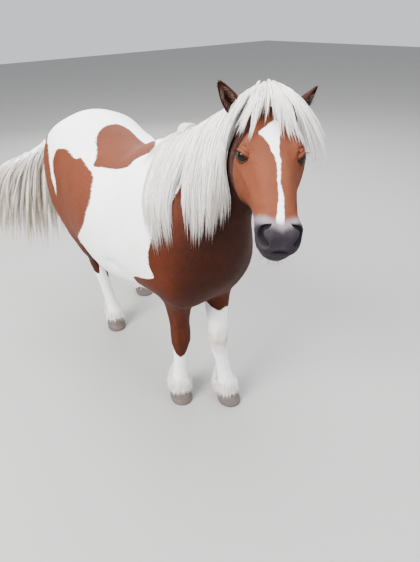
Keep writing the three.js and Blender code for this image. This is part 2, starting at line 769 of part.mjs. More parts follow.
// Forelock: it falls forward over the brow, and its left edge hangs clear beside the left eye
function forelock() {
  const columns = 10;
  const paths = [];
  for (let c = 0; c <= columns; c += 1) {
    const across = (2 * c) / columns - 1;
    const start = inHead(-24, -22 + 8 * across ** 2, across * 22);
    const heading = headAlong.clone()
      .addScaledVector(headLeft, across * 0.5)
      .addScaledVector(headUnder, -0.1);
    const length = 195 - 30 * Math.abs(across) - (c % 2 === 0 ? 25 : 0);
    const laid = drape(start, heading, length, HAIR_LIFT);
    const tip = inHead(112 - (c % 2) * 16, 150, 156).addScaledVector(headLeft, -40 * (1 - across));
    const fall = new THREE.CatmullRomCurve3([start, inHead(34, -24, 44), inHead(80, 0, 112), tip]);
    const hanging = fall.getPoints(HAIR_ROWS);
    const clear = THREE.MathUtils.smoothstep(across, 0.3, 0.9);
    paths.push(laid.map((point, r) => point.lerp(hanging[r], clear)));
  }
  return bunch(paths, THICKNESS.forelock);
}

// Tail: the dock swung to the right, and locks that fall from it to a fan of tips
const DOCK = new THREE.CatmullRomCurve3([
  new THREE.Vector3(-500, 8, 838),
  new THREE.Vector3(-568, -12, 826),
  new THREE.Vector3(-622, -80, 786),
  new THREE.Vector3(-652, -170, 742),
  new THREE.Vector3(-660, -245, 722),
]);
const TAIL_TIPS = new THREE.CatmullRomCurve3([
  new THREE.Vector3(-575, -60, 395),
  new THREE.Vector3(-605, -160, 362),
  new THREE.Vector3(-640, -262, 345),
  new THREE.Vector3(-665, -345, 402),
  new THREE.Vector3(-680, -390, 500),
]);

function dock() {
  const rows = [0, 0.25, 0.5, 0.75, 1].map((share) => {
    const radius = THREE.MathUtils.lerp(27, 11, share);
    return [DOCK.getPoint(share), radius, radius, radius];
  });
  return tube(rows, new THREE.Vector3(0, 0, 1), 7, 5);
}

function tailHair() {
  const columns = 8;
  const paths = [];
  for (let c = 0; c <= columns; c += 1) {
    const share = c / columns;
    const root = DOCK.getPoint(0.25 + 0.72 * share).add(new THREE.Vector3(-30, 0, 8));
    const onward = DOCK.getTangent(0.25 + 0.72 * share);
    const tip = TAIL_TIPS.getPoint(share).add(new THREE.Vector3(0, 0, c % 2 === 0 ? 30 : 0));
    const bend = root.clone().addScaledVector(onward, 60 + 50 * share).add(new THREE.Vector3(-20, 0, -30));
    paths.push(new THREE.QuadraticBezierCurve3(root, bend, tip).getPoints(HAIR_ROWS));
  }
  return bunch(paths, THICKNESS.tail);
}

const group = new THREE.Group();

function material(color, roughness) {
  return new THREE.MeshStandardMaterial({ color, roughness, metalness: 0 });
}

const FINISH = {
  chestnut: material(0x8f4a2c, 0.75),
  white: material(0xe6e3e0, 0.75),
  cream: material(0xd9cdb8, 0.7),
  horn: material(0x6e6258, 0.5),
  eye: material(0x120d0a, 0.12),
};

function add(name, solid, finish) {
  const mesh = new THREE.Mesh(geometryOf(solid), finish);
  mesh.name = name;
  group.add(mesh);
}

const TRUNK_BOX = boxOf([-680, -330, 360], [640, 330, 1200]);
const HEAD_BOX = boxOf([360, -280, 640], [900, 300, 1200]);
const FIT = 0.6;

// Trunk and neck, without the spaces that the head and the legs take
let body = fleshIn(TRUNK_BOX, STEP.trunk);
body = body.subtract(spaceBeyond([CUTS.poll, CUTS.throat]));
for (const name of Object.keys(LEGS)) {
  body = body.subtract(spaceBeyond(legTop(name)));
}
const behindNeck = body.intersect(before(CUTS.neck));
add('neck', body.intersect(beyond(CUTS.neck)), FINISH.chestnut);
add('forehand', behindNeck.intersect(beyond(CUTS.girth)), FINISH.chestnut);
add('barrel', behindNeck.intersect(region([[CUTS.girth, false], [CUTS.loin, true]])), FINISH.white);
add('hindquarters', behindNeck.intersect(before(CUTS.loin)), FINISH.white);

let head = fleshIn(HEAD_BOX, STEP.head).intersect(region([[CUTS.poll, true], [CUTS.throat, true]]));
for (const [name, centre] of Object.entries(EYES)) {
  head = head.subtract(ball(centre, EYE_RADIUS + GAP));
  add(name, ball(centre, EYE_RADIUS), FINISH.eye);
}
add('head', head, FINISH.chestnut);

const skullSpace = fleshIn(HEAD_BOX, STEP.head, FIT);
const ears = Object.entries(EAR_PLACES).map(([name, place]) => [name, earSolid(place).subtract(skullSpace)]);
for (const [name, solid] of ears) {
  add(name, solid, FINISH.chestnut);
}

for (const name of Object.keys(LEGS)) {
  const { knee, fetlock, hoof, top } = LEGS[name];
  const split = { point: new THREE.Vector3(0, 0, knee[2] - 42), normal: new THREE.Vector3(0, 0, 1) };
  const box = new THREE.Box3().setFromPoints([top, knee, fetlock, hoof].map(vector));
  box.expandByVector(new THREE.Vector3(175, 130, 0));
  box.min.z = split.point.z - 50;
  box.max.z = 720;
  const space = region(legTop(name).map((cut) => [cut, true]));
  const upper = fleshIn(box, STEP.upperLeg).intersect(space).intersect(beyond(split));
  const whole = tube(legRows(name), toLeft, 10, Math.round((top[2] + 80) / STEP.lowerLeg));
  add(`${name}_upper_leg`, upper, FINISH.chestnut);
  add(`${name}_lower_leg`, whole.intersect(region([[split, false], [crownCut(name), true]])), FINISH.white);
  add(`${name}_hoof`, hoofSolid(name), FINISH.horn);
}

const rumpSpace = fleshIn(TRUNK_BOX, STEP.trunk, FIT);
const dockSolid = dock().subtract(rumpSpace);
add('tail_dock', dockSolid, FINISH.white);

// Hair keeps clear of the flesh, the ears and the eyes, and each bunch of the one before
let taken = fleshIn(TRUNK_BOX, STEP.trunk, HAIR_CLEARANCE).add(fleshIn(HEAD_BOX, STEP.head, HAIR_CLEARANCE));
for (const place of Object.values(EAR_PLACES)) {
  taken = taken.add(earSolid(place)).add(earSolid(place, HAIR_CLEARANCE));
}
for (const centre of Object.values(EYES)) {
  taken = taken.add(ball(centre, EYE_RADIUS + HAIR_CLEARANCE));
}
const hair = {
  mane_right: maneSide(-1, 12, (share) => 370 + 30 * Math.sin(Math.PI * share)),
  mane_left: maneSide(1, 8, (share) => 250 - 40 * share),
  forelock: forelock(),
};
for (const [name, solid] of Object.entries(hair)) {
  const kept = largestPiece(solid.subtract(taken));
  add(name, kept, FINISH.cream);
  taken = taken.add(kept);
}
add('tail_hair', largestPiece(tailHair().subtract(dockSolid)), FINISH.cream);

const bounds = new THREE.Box3().setFromObject(group);
const centre = bounds.getCenter(new THREE.Vector3());
group.position.set(-centre.x, -centre.y, -bounds.min.z);

export default group;
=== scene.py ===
"""Looks of a life-size Shetland pony model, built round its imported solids.

The pony stands with its head turned to its right. Lengths are metres in the
part's own frame: +X towards the breast, +Y to the pony's left, +Z up.
"""

from __future__ import annotations

import sys

import logging
import math
from dataclasses import dataclass, field
from enum import Enum
from typing import Callable, Sequence

import bmesh
import bpy
import numpy as np
from mathutils import Matrix, Vector
from mathutils.bvhtree import BVHTree


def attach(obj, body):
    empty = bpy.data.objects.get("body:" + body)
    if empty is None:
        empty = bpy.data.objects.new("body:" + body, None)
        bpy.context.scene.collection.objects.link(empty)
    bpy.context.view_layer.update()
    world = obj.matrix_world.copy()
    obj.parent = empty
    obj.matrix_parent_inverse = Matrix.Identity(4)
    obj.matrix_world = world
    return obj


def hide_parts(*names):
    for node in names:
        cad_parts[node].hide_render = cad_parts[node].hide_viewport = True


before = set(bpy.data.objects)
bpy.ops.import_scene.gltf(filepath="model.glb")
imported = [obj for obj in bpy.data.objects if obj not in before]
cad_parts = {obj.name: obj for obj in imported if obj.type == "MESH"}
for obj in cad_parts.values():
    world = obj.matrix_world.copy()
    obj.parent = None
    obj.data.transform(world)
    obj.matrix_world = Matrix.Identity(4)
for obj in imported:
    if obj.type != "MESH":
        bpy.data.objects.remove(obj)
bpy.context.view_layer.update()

log = logging.getLogger("pony")

Array = np.ndarray
Triple = tuple[float, float, float]

BODY = "root"
MM = 0.001


class Slot(Enum):
    """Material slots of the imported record."""

    COAT = "coat"
    HAIR = "hair"
    HORN = "horn"
    EYE = "eye"


class Side(Enum):
    """The pony's own right and left."""

    RIGHT = -1
    LEFT = 1


# Small vector helpers


def unit(v: Array) -> Array:
    """Vectors scaled to length one, along the last axis."""
    return v / np.maximum(np.linalg.norm(v, axis=-1, keepdims=True), 1e-12)


def step(values: Array, low: float, high: float) -> Array:
    """Smooth rise from 0 at low to 1 at high."""
    t = np.clip((np.asarray(values) - low) / (high - low), 0.0, 1.0)
    return t * t * (3.0 - 2.0 * t)


def rows_at(rows: Sequence[Sequence[float]], x: Array, column: int) -> Array:
    """One column of a short table, read off at x between its rows."""
    table = np.array(rows, float)
    return np.interp(x, table[:, 0], table[:, column])


def smooth_curve(points: Sequence[Sequence[float]], count: int, closed: bool = False) -> Array:
    """Points along a Catmull-Rom curve.

    Args:
        points: the points that the curve passes through.
        count: how many samples lie between two of them.
        closed: whether the last point joins the first.

    Returns:
        The samples, one a row.
    """
    p = np.array(points, float)
    if closed:
        p = np.vstack([p[-1:], p, p[:2]])
    else:
        p = np.vstack([2 * p[0] - p[1], p, 2 * p[-1] - p[-2]])
    t = np.linspace(0.0, 1.0, count, endpoint=False)[:, None]
    out = []
    for a, b, c, d in zip(p, p[1:], p[2:], p[3:]):
        square, cube = 2 * a - 5 * b + 4 * c - d, 3 * b - a - 3 * c + d
        out.append(0.5 * (2 * b + (c - a) * t + square * t**2 + cube * t**3))
    if not closed:
        out.append(p[-2:-1])
    return np.vstack(out)


def resample(path: Array, count: int) -> Array:
    """The same path with evenly spaced points.

    Args:
        path: the points to follow.
        count: how many points to return.

    Returns:
        The new points, one a row.
    """
    gaps = np.linalg.norm(np.diff(path, axis=0), axis=1)
    reach = np.concatenate([[0.0], np.cumsum(gaps)])
    at = np.linspace(0.0, reach[-1], count)
    return np.stack([np.interp(at, reach, path[:, k]) for k in range(path.shape[1])], axis=1)


def depth_inside(points: Array, outline: Array) -> Array:
    """Signed distance to a closed outline in a flat chart.

    Args:
        points: chart points, one a row.
        outline: the outline's corners in order.

    Returns:
        The distance to the outline, positive inside it.
    """
    nearest = np.full(len(points), 1e9)
    inside = np.zeros(len(points), bool)
    for a, b in zip(outline, np.roll(outline, -1, axis=0)):
        edge = b - a
        away = points - a
        t = np.clip(away @ edge / max(edge @ edge, 1e-12), 0.0, 1.0)
        nearest = np.minimum(nearest, ((away - t[:, None] * edge) ** 2).sum(1))
        spans = (a[1] > points[:, 1]) != (b[1] > points[:, 1])
        rise = edge[1] if abs(edge[1]) > 1e-12 else 1e-12
        inside ^= spans & (points[:, 0] < a[0] + (points[:, 1] - a[1]) * edge[0] / rise)
    return np.where(inside, 1.0, -1.0) * np.sqrt(nearest)


# Mesh helpers


def mesh_object(name: str, points: Array, faces: Array) -> bpy.types.Object:
    """A smooth-shaded object from triangles.

    Args:
        name: the piece's name.
        points: its vertices, one a row.
        faces: its triangles as rows of three vertex numbers.

    Returns:
        The object, linked to the scene.
    """
    mesh = bpy.data.meshes.new(name)
    mesh.vertices.add(len(points))
    mesh.vertices.foreach_set("co", np.ascontiguousarray(points, np.float32).ravel())
    mesh.loops.add(faces.size)
    mesh.loops.foreach_set("vertex_index", np.ascontiguousarray(faces, np.int32).ravel())
    mesh.polygons.add(len(faces))
    mesh.polygons.foreach_set("loop_start", np.arange(0, faces.size, 3, dtype=np.int32))
    mesh.update(calc_edges=True)
    mesh.shade_smooth()
    made = bpy.data.objects.new(name, mesh)
    bpy.context.scene.collection.objects.link(made)
    return made


def fetch(rows: bpy.types.bpy_prop_collection, name: str, width: int, kind: type) -> Array:
    """One property of every row of a mesh's collection.

    Args:
        rows: the collection, such as the vertices.
        name: the property's name.
        width: how many numbers a row has.
        kind: the type of those numbers.

    Returns:
        The values, one row each.
    """
    out = np.empty(len(rows) * width, kind)
    rows.foreach_get(name, out)
    return out.reshape(-1, width)


def read_points(mesh: bpy.types.Mesh) -> Array:
    """The mesh's vertices, one a row."""
    return fetch(mesh.vertices, "co", 3, np.float32).astype(float)


def read_normals(mesh: bpy.types.Mesh) -> Array:
    """The mesh's vertex normals, one a row."""
    return fetch(mesh.vertex_normals, "vector", 3, np.float32).astype(float)


def read_triangles(mesh: bpy.types.Mesh) -> Array:
    """The mesh's triangles as rows of vertex numbers."""
    mesh.calc_loop_triangles()
    return fetch(mesh.loop_triangles, "vertices", 3, np.int32)


def read_edges(mesh: bpy.types.Mesh) -> Array:
    """The mesh's edges as pairs of vertex numbers."""
    return fetch(mesh.edges, "vertices", 2, np.int32)


def write_points(mesh: bpy.types.Mesh, points: Array) -> None:
    """Moves the mesh's vertices."""
    mesh.vertices.foreach_set("co", np.ascontiguousarray(points, np.float32).ravel())
    mesh.update()


def write_value(mesh: bpy.types.Mesh, name: str, values: Array) -> None:
    """Stores one number a vertex under a name that the finishes read."""
    mesh.attributes.new(name, "FLOAT", "POINT").data.foreach_set("value", np.asarray(values, np.float32))


def write_patches(mesh: bpy.types.Mesh, places: Array) -> None:
    """Stores the bake map, with one place a vertex.

    Args:
        mesh: the mesh to store it on.
        places: places in the unwrap, one a vertex.
    """
    corners = fetch(mesh.loops, "vertex_index", 1, np.int32)[:, 0]
    uv = np.ascontiguousarray(places[corners], np.float32).ravel()
    mesh.uv_layers.new(name="OFBake").data.foreach_set("uv", uv)


def remeshed(form: bpy.types.Object, voxel: float) -> bpy.types.Mesh:
    """One even closed mesh over a form, which is then removed.

    Args:
        form: the object to cover, which may be open or overlap itself.
        voxel: size of the cells, in metres.

    Returns:
        The new mesh.
    """
    modifier = form.modifiers.new("even", "REMESH")
    modifier.mode = "VOXEL"
    modifier.voxel_size = voxel
    graph = bpy.context.evaluated_depsgraph_get()
    mesh = bpy.data.meshes.new_from_object(form.evaluated_get(graph))
    bpy.data.objects.remove(form)
    return mesh


def welded(piece: bpy.types.Object, reach: float) -> bpy.types.Object:
    """The piece with near points joined and its faces turned outwards.

    Args:
        piece: the object to mend.
        reach: how near two points are joined, in metres.

    Returns:
        The same object.
    """
    bm = bmesh.new()
    bm.from_mesh(piece.data)
    bmesh.ops.remove_doubles(bm, verts=bm.verts, dist=reach)
    bmesh.ops.recalc_face_normals(bm, faces=bm.faces)
    bm.to_mesh(piece.data)
    bm.free()
    return piece


def band(ids: Array) -> Array:
    """Triangles over a grid of vertex numbers that closes on itself along its second axis.

    Args:
        ids: vertex numbers, one row for each ring.

    Returns:
        The triangles, one a row.
    """
    a, b = ids[:-1], ids[1:]
    a2, b2 = np.roll(a, -1, axis=1), np.roll(b, -1, axis=1)
    return np.vstack([np.stack(t, axis=2).reshape(-1, 3) for t in ((a, b, b2), (a, b2, a2))])


def joined(parts: Sequence[tuple[Array, Array]]) -> tuple[Array, Array]:
    """Several meshes, each as points and triangles, put together as one.

    Args:
        parts: points and triangles of each mesh.

    Returns:
        Points and triangles of the whole.
    """
    starts = np.cumsum([0] + [len(points) for points, _ in parts])
    points = np.vstack([part[0] for part in parts])
    return points, np.vstack([part[1] + start for part, start in zip(parts, starts)])


def smoothed(values: Array, edges: Array, weight: Array, rounds: int) -> Array:
    """Values evened out over a mesh by repeated averaging.

    Args:
        values: one row a vertex.
        edges: pairs of vertex numbers.
        weight: how far each vertex moves towards its neighbours' mean each round.
        rounds: how many rounds.

    Returns:
        The evened values.
    """
    count = len(values)
    a, b = edges.T
    valence = np.maximum(np.bincount(a, minlength=count) + np.bincount(b, minlength=count), 1)
    out = values.copy()
    for _ in range(rounds):
        for k in range(out.shape[1]):
            column = out[:, k]
            total = np.bincount(a, column[b], count) + np.bincount(b, column[a], count)
            out[:, k] = column + weight * (total / valence - column)
    return out


def finish_piece(piece: bpy.types.Object, slot: Slot, material: bpy.types.Material, *nodes: str) -> None:
    """Dresses a piece, fixes it to the body and lets it stand for its solids.

    Args:
        piece: the finished piece.
        slot: the record's material slot, not used.
        material: its finish.
        nodes: the solids that it stands for.
    """
    piece.data.materials.clear()
    piece.data.materials.append(material)
    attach(piece, BODY)
    if nodes:
        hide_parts(*nodes)
    log.info("%s: %d vertices, %d faces", piece.name, len(piece.data.vertices), len(piece.data.polygons))


# The pony's own directions and divisions


@dataclass(frozen=True)
class HeadFrame:
    """Directions of the turned head, measured from the poll in millimetres."""

    yaw: float = -36.5
    down: float = 31.0
    tilt: float = 5.0
    poll: Triple = (0.5073, 0.1489, 1.064)

    def axes(self) -> Array:
        """Rows that point along the face, under it and to the left."""
        yaw, down, tilt = (math.radians(v) for v in (self.yaw, self.down, self.tilt))
        along = np.array([math.cos(down) * math.cos(yaw), math.cos(down) * math.sin(yaw), -math.sin(down)])
        level = np.array([-math.sin(yaw), math.cos(yaw), 0.0])
        under = -np.cross(along, level)
        turned = level * math.cos(tilt) + under * math.sin(tilt)
        return np.array([along, under * math.cos(tilt) - level * math.sin(tilt), turned])

    def place(self, spots: Sequence[float] | Array) -> Array:
        """Points of the part from head measures in millimetres."""
        return np.array(self.poll) + np.asarray(spots, float) * MM @ self.axes()

    def way(self, direction: Sequence[float]) -> Array:
        """A direction of the part from one of the head."""
        return unit(np.asarray(direction, float) @ self.axes())

    def measure(self, points: Array) -> Array:
        """Head measures in millimetres of points of the part."""
        return (points - np.array(self.poll)) @ self.axes().T / MM


HEAD = HeadFrame()
OFFSET = np.array([-0.0077, 0.0769, 0.0])


def body_points(rows: Sequence[Sequence[float]]) -> Array:
    """Points of the part from measures in millimetres off the middle of the trunk."""
    return np.array(rows, float) * MM + OFFSET


@dataclass(frozen=True)
class Region:
    """A stretch of the body round a spine of its own.

    spine holds body points in millimetres, girth is the usual distance from
    it to the coat, tile is its place in the unwrap as left, bottom, width and
    height, and lie is the way the coat lies.
    """

    name: str
    spine: tuple[Triple, ...]
    girth: float
    tile: tuple[float, float, float, float]
    lie: Triple
    face: Triple = (0.0, 0.0, 1.0)

    def locate(self, points: Array) -> tuple[Array, Array, Array]:
        """Where points stand round the spine.

        Args:
            points: points of the part.

        Returns:
            Distance from the spine, share of the way along it, and angle round it.
        """
        spine = body_points(self.spine)
        lengths = np.linalg.norm(np.diff(spine, axis=0), axis=1)
        starts = np.concatenate([[0.0], np.cumsum(lengths)])[:-1]
        best = np.full(len(points), 1e9)
        share = np.zeros(len(points))
        angle = np.zeros(len(points))
        for a, b, length, start in zip(spine, spine[1:], lengths, starts):
            along = (b - a) / length
            away = points - a
            reach = away @ along
            held = np.clip(reach, 0.0, length)
            off = away - held[:, None] * along
            distance = np.linalg.norm(off, axis=1)
            across = unit(np.cross(along, np.array(self.face)))
            over = np.cross(across, along)
            nearer = distance < best
            best = np.where(nearer, distance, best)
            share = np.where(nearer, (start + held) / lengths.sum(), share)
            angle = np.where(nearer, np.arctan2(off @ across, off @ over), angle)
        return best, share, angle


def head_in_body(*spots: Triple) -> tuple[Triple, ...]:
    """Head measures turned into body points in millimetres."""
    return tuple(tuple((HEAD.place(s) - OFFSET) / MM) for s in spots)


def leg_region(name: str, spine: tuple[Triple, ...], column: int) -> Region:
    """One leg, with its own strip of the unwrap."""
    tile = (0.02 + 0.16 * column, 0.62, 0.14, 0.36)
    return Region(name, spine, 0.06, tile, lie=(-0.12, 0.0, -1.0), face=(1.0, 0.0, 0.0))


DOCK_SPINE = ((-500, 8, 838), (-568, -12, 826), (-622, -80, 786), (-652, -170, 742), (-660, -245, 722))
REGIONS = (
    Region(
        "trunk",
        ((-480, 8, 735), (-300, 4, 705), (0, 0, 665), (300, -4, 655)),
        0.205,
        (0.02, 0.02, 0.60, 0.56), (-1.0, 0.0, -0.5),
    ),
    Region(
        "neck",
        ((262, 4, 740), (325, 15, 800), (402, 42, 882), (470, 68, 950)),
        0.115,
        (0.66, 0.02, 0.32, 0.26), (-0.45, 0.0, -1.0),
    ),
    Region(
        "head",
        head_in_body((20, 62, 0), (150, 66, 0), (345, 66, 0)),
        0.068,
        (0.66, 0.32, 0.32, 0.28),
        tuple(HEAD.way((0.85, 0.5, 0.0))),
    ),
    leg_region("fore_right", ((260, -55, 470), (250, -49, 285), (236, -56, 82), (247, -66, 10)), 0),
    leg_region("fore_left", ((272, 95, 470), (340, 43, 280), (354, 68, 82), (366, 66, 10)), 1),
    leg_region("hind_right", ((-275, -118, 520), (-350, -68, 330), (-318, -45, 82), (-309, -50, 10)), 2),
    leg_region("hind_left", ((-300, 128, 520), (-505, 160, 345), (-492, 190, 82), (-481, 196, 10)), 3),
    Region(
        "dock",
        DOCK_SPINE,
        0.024,
        (0.66, 0.64, 0.32, 0.10), (-0.4, -0.4, -0.8),
    ),
)
LEGS = ("fore_right", "fore_left", "hind_right", "hind_left")
REGION_NUMBER = {region.name: n for n, region in enumerate(REGIONS)}
PATCH = 0.003


@dataclass
class Survey:
    """For a set of points, the region that holds each and where it stands there."""

    points: Array
    owner: Array = field(init=False)
    shares: Array = field(init=False)
    angles: Array = field(init=False)
    lie: Array = field(init=False)

    def __post_init__(self) -> None:
        """Finds each point's region and the way its coat lies."""
        found = [region.locate(self.points) for region in REGIONS]
        nearness = np.stack([f[0] / region.girth for f, region in zip(found, REGIONS)])
        self.owner = nearness.argmin(0)
        picked = np.arange(len(self.points))
        self.shares = np.stack([f[1] for f in found])[self.owner, picked]
        self.angles = np.stack([f[2] for f in found])[self.owner, picked]
        pull = np.exp(-9.0 * (nearness - nearness.min(0)))
        self.lie = unit(np.einsum("rn,rk->nk", pull, unit(np.array([r.lie for r in REGIONS]))))

    def held_by(self, *names: str) -> Array:
        """Which points belong to the named regions."""
        return np.isin(self.owner, [REGION_NUMBER[n] for n in names])

    def unwrap(self) -> Array:
        """Each point's place on the unwrap of the skin."""
        tiles = np.array([region.tile for region in REGIONS])[self.owner]
        round_share = self.angles / (2.0 * math.pi) + 0.5
        usable = tiles[:, 2:] - PATCH
        return tiles[:, :2] + np.stack([round_share, self.shares], axis=1) * usable


# Markings


DEGREE_OF_GIRTH = 0.0035

# Outlines of the chestnut patches on the trunk: [x, degrees round it from the spine, right side negative]
LOIN_RIGHT = (
    (-0.159, -17), (-0.181, -9), (-0.188, 0), (-0.182, 8), (-0.135, 12), (-0.060, 10), (0.030, 6),
    (0.110, -1), (0.175, -9), (0.207, -14), (0.211, -18), (0.187, -23), (0.172, -29), (0.170, -35),
    (0.098, -39), (0.023, -42), (-0.030, -45), (-0.055, -37), (-0.089, -30), (-0.127, -24),
)
HAUNCH_RIGHT = (
    (-0.251, -44), (-0.226, -43), (-0.191, -45), (-0.151, -47), (-0.127, -44), (-0.087, -46),
    (-0.058, -48), (-0.020, -50), (0.014, -54), (0.030, -60), (0.045, -66), (0.050, -72), (0.040, -79),
    (0.028, -88), (-0.004, -97), (-0.070, -109), (-0.150, -122), (-0.212, -134), (-0.270, -140),
    (-0.300, -120), (-0.310, -104), (-0.300, -94), (-0.287, -87), (-0.277, -77), (-0.286, -69),
    (-0.294, -61), (-0.290, -52), (-0.279, -47),
)
BUTTOCK_RIGHT = (
    (-0.400, -40), (-0.376, -45), (-0.349, -49), (-0.324, -57), (-0.311, -67), (-0.306, -77),
    (-0.296, -87), (-0.300, -98), (-0.290, -120), (-0.300, -150), (-0.400, -160), (-0.600, -150),
    (-0.600, -60), (-0.470, -42),
)
SHOULDER_RIGHT = (
    (0.410, 2), (0.372, -16), (0.361, -28), (0.358, -38), (0.352, -49), (0.344, -61), (0.338, -72),
    (0.332, -82), (0.327, -92), (0.328, -104), (0.336, -113), (0.320, -115.5), (0.278, -118.5),
    (0.240, -121), (0.220, -125), (0.216, -132), (0.235, -145), (0.250, -165), (0.260, -190),
    (0.700, -190), (0.700, 2),
)
FLANK_LEFT = (
    (-0.335, 52), (-0.250, 44), (-0.150, 38), (-0.060, 30), (0.060, 28), (0.150, 34), (0.165, 52),
    (0.110, 72), (0.075, 92), (-0.020, 104), (-0.140, 116), (-0.240, 138), (-0.330, 132), (-0.350, 100),
    (-0.372, 76),
)
BUTTOCK_LEFT = ((-0.410, 60), (-0.385, 90), (-0.372, 120), (-0.400, 150), (-0.600, 150), (-0.600, 66))
SHOULDER_LEFT = (
    (0.410, -2), (0.375, 18), (0.350, 40), (0.318, 62), (0.300, 84), (0.296, 104), (0.315, 116),
    (0.268, 128), (0.240, 150), (0.235, 190), (0.700, 190), (0.700, -2),
)
TRUNK_PATCHES = (
    LOIN_RIGHT,
    HAUNCH_RIGHT,
    BUTTOCK_RIGHT,
    SHOULDER_RIGHT,
    FLANK_LEFT,
    BUTTOCK_LEFT,
    SHOULDER_LEFT,
)

# White of the face: [along the face, its middle to the left, half width], all in millimetres
BLAZE = (
    (60, 9, 2), (70, 7, 10), (84, 0, 17), (95, -6, 24), (102, -6, 23), (110, -3, 18), (124, 0, 13),
    (150, 2, 8), (165, 5, 5), (175, 6, 5.5), (201, 5, 4), (226, 2, 3.6), (262, 4, 4.5), (288, 1, 6.5),
    (309, -1, 7.5), (326, -3, 9), (338, -2, 6), (346, -2, 1),
)

# How far down each leg the chestnut reaches: [degrees round it from the front, right side positive, height]
LEG_LIMITS = {
    "fore_right": (
        (-180, 0.285), (-60, 0.262), (-35, 0.235), (-8, 0.215), (35, 0.206), (72, 0.220), (101, 0.236),
        (120, 0.285), (180, 0.285),
    ),
    "fore_left": (
        (-180, 0.392), (-60, 0.389), (0, 0.400), (30, 0.393), (60, 0.402), (110, 0.415), (180, 0.392),
    ),
    "hind_right": (
        (-180, 0.250), (-75, 0.234), (-54, 0.250), (-22, 0.272), (-14, 0.400), (14, 0.400), (20, 0.316),
        (39, 0.288), (110, 0.290), (180, 0.250),
    ),
    "hind_left": ((-180, 0.405), (0, 0.440), (180, 0.405)),
}
LEG_TOP = 0.575
SPOT = ((0.3300, 0.0890, 0.330), (0.009, 0.009, 0.011))


def trunk_chart(points: Array) -> Array:
    """Points laid out by distance along the trunk and round its girth, in metres.

    Args:
        points: points of the part.

    Returns:
        Distance along and distance round, one row a point.
    """
    middle = OFFSET[1], 0.690
    degrees = np.degrees(np.arctan2(points[:, 1] - middle[0], points[:, 2] - middle[1]))
    return np.stack([points[:, 0], degrees * DEGREE_OF_GIRTH], axis=1)


@dataclass(frozen=True)
class Markings:
    """Where the coat is white, how deep its chestnut is, painted shade included, and where the skin is bare
    and grey.
    """

    head: HeadFrame = HEAD

    def white(self, survey: Survey) -> Array:
        """Distance into the white, negative in the chestnut.

        Args:
            survey: the points to colour.

        Returns:
            The distance in metres, one number a point.
        """
        points = survey.points
        chart = trunk_chart(points)
        chestnut = np.full(len(points), -0.08)
        scale = np.array([1.0, DEGREE_OF_GIRTH])
        for outline in TRUNK_PATCHES:
            rounded = smooth_curve(np.array(outline) * scale, 4, closed=True)
            chestnut = np.maximum(chestnut, depth_inside(chart, rounded))
        for name, rows in LEG_LIMITS.items():
            mine = survey.held_by(name)
            limit = rows_at(rows, np.degrees(survey.angles[mine]), 1)
            height = points[mine, 2]
            reach = np.minimum(height - limit, LEG_TOP - height)
            chestnut[mine] = np.maximum(np.minimum(chestnut[mine], height - limit), reach)
        spot, size = np.array(SPOT)
        chestnut = np.maximum(chestnut, 0.01 * (1.0 - np.linalg.norm((points - spot) / size, axis=1)))
        chestnut = np.where(survey.held_by("dock"), -0.05, chestnut)
        spots = self.head.measure(points)
        ways = self.blaze(spots)
        fore = survey.held_by("head")
        chestnut = np.where(fore, np.minimum(np.maximum(chestnut, 0.03), -ways), chestnut)
        return -chestnut

    def blaze(self, spots: Array) -> Array:
        """Distance into the white of the face, in metres.

        Args:
            spots: head measures in millimetres.

        Returns:
            The distances, negative outside it.
        """
        middle = rows_at(BLAZE, spots[:, 0], 1)
        half = rows_at(BLAZE, spots[:, 0], 2)
        depth = half - np.abs(spots[:, 2] - middle)
        depth = np.minimum(depth, np.minimum(spots[:, 0] - BLAZE[0][0], BLAZE[-1][0] - spots[:, 0]))
        return np.minimum(depth, 42.0 - spots[:, 1]) * MM

    def tone(self, survey: Survey) -> Array:
        """Depth of the chestnut, from 0 for deep red-brown to 1 for pale orange, darkened by painted shade
        on the breast, low on the hindquarters and under the jaw and throat.

        Args:
            survey: the points and where they stand on the body.

        Returns:
            The depth at each point, painted shade included.
        """
        points = survey.points
        # Darker towards the breast, partly its own deeper red-brown and partly painted shade.
        tone = 0.78 - 0.34 * step(points[:, 0], 0.15, 0.36) - 0.34 * step(points[:, 0], 0.35, 0.45)
        tone = np.where(survey.held_by("fore_right", "fore_left"), 0.38, tone)
        # Painted shade low on the hindquarters, under the belly and between the thighs.
        tone -= 0.5 * step(-points[:, 2], -0.50, -0.36) * step(-points[:, 0], 0.0, 0.2)
        spots = self.head.measure(points)
        # Paler on the face; darker under the jaw and throat, partly painted shade.
        face = 0.92 - 0.60 * step(spots[:, 1], 88.0, 140.0) - 0.12 * step(-spots[:, 0], -70.0, 0.0)
        return np.clip(np.where(survey.held_by("head"), face, tone), 0.0, 1.0)

    def muzzle(self, survey: Survey) -> Array:
        """Bareness of the grey muzzle, from 0 in the coat to 1 at the lips.

        Args:
            survey: the points and where they stand on the body.

        Returns:
            The bareness at each point.
        """
        spots = self.head.measure(survey.points)
        forward = spots[:, 0] + 0.62 * spots[:, 1] + 0.42 * np.abs(spots[:, 2])
        chin = 1.0 - 0.32 * step(spots[:, 1], 74.0, 96.0)
        return np.where(survey.held_by("head"), chin * step(forward, 312.0, 372.0), 0.0)

    def stain(self, survey: Survey) -> Array:
        """How dusty the white of the knees and the lower legs is, from 0 to 1.

        Args:
            survey: the points and where they stand on the body.

        Returns:
            The dustiness at each point.
        """
        points = survey.points
        knee = np.exp(-(((points[:, 2] - 0.290) / 0.034) ** 2)) * survey.held_by("fore_left")
        low = np.exp(-(((points[:, 2] - 0.062) / 0.016) ** 2)) * (points[:, 2] < 0.2)
        return np.maximum(0.75 * knee, 0.30 * low)


MARKINGS = Markings()


# Sculpted forms of the head and body


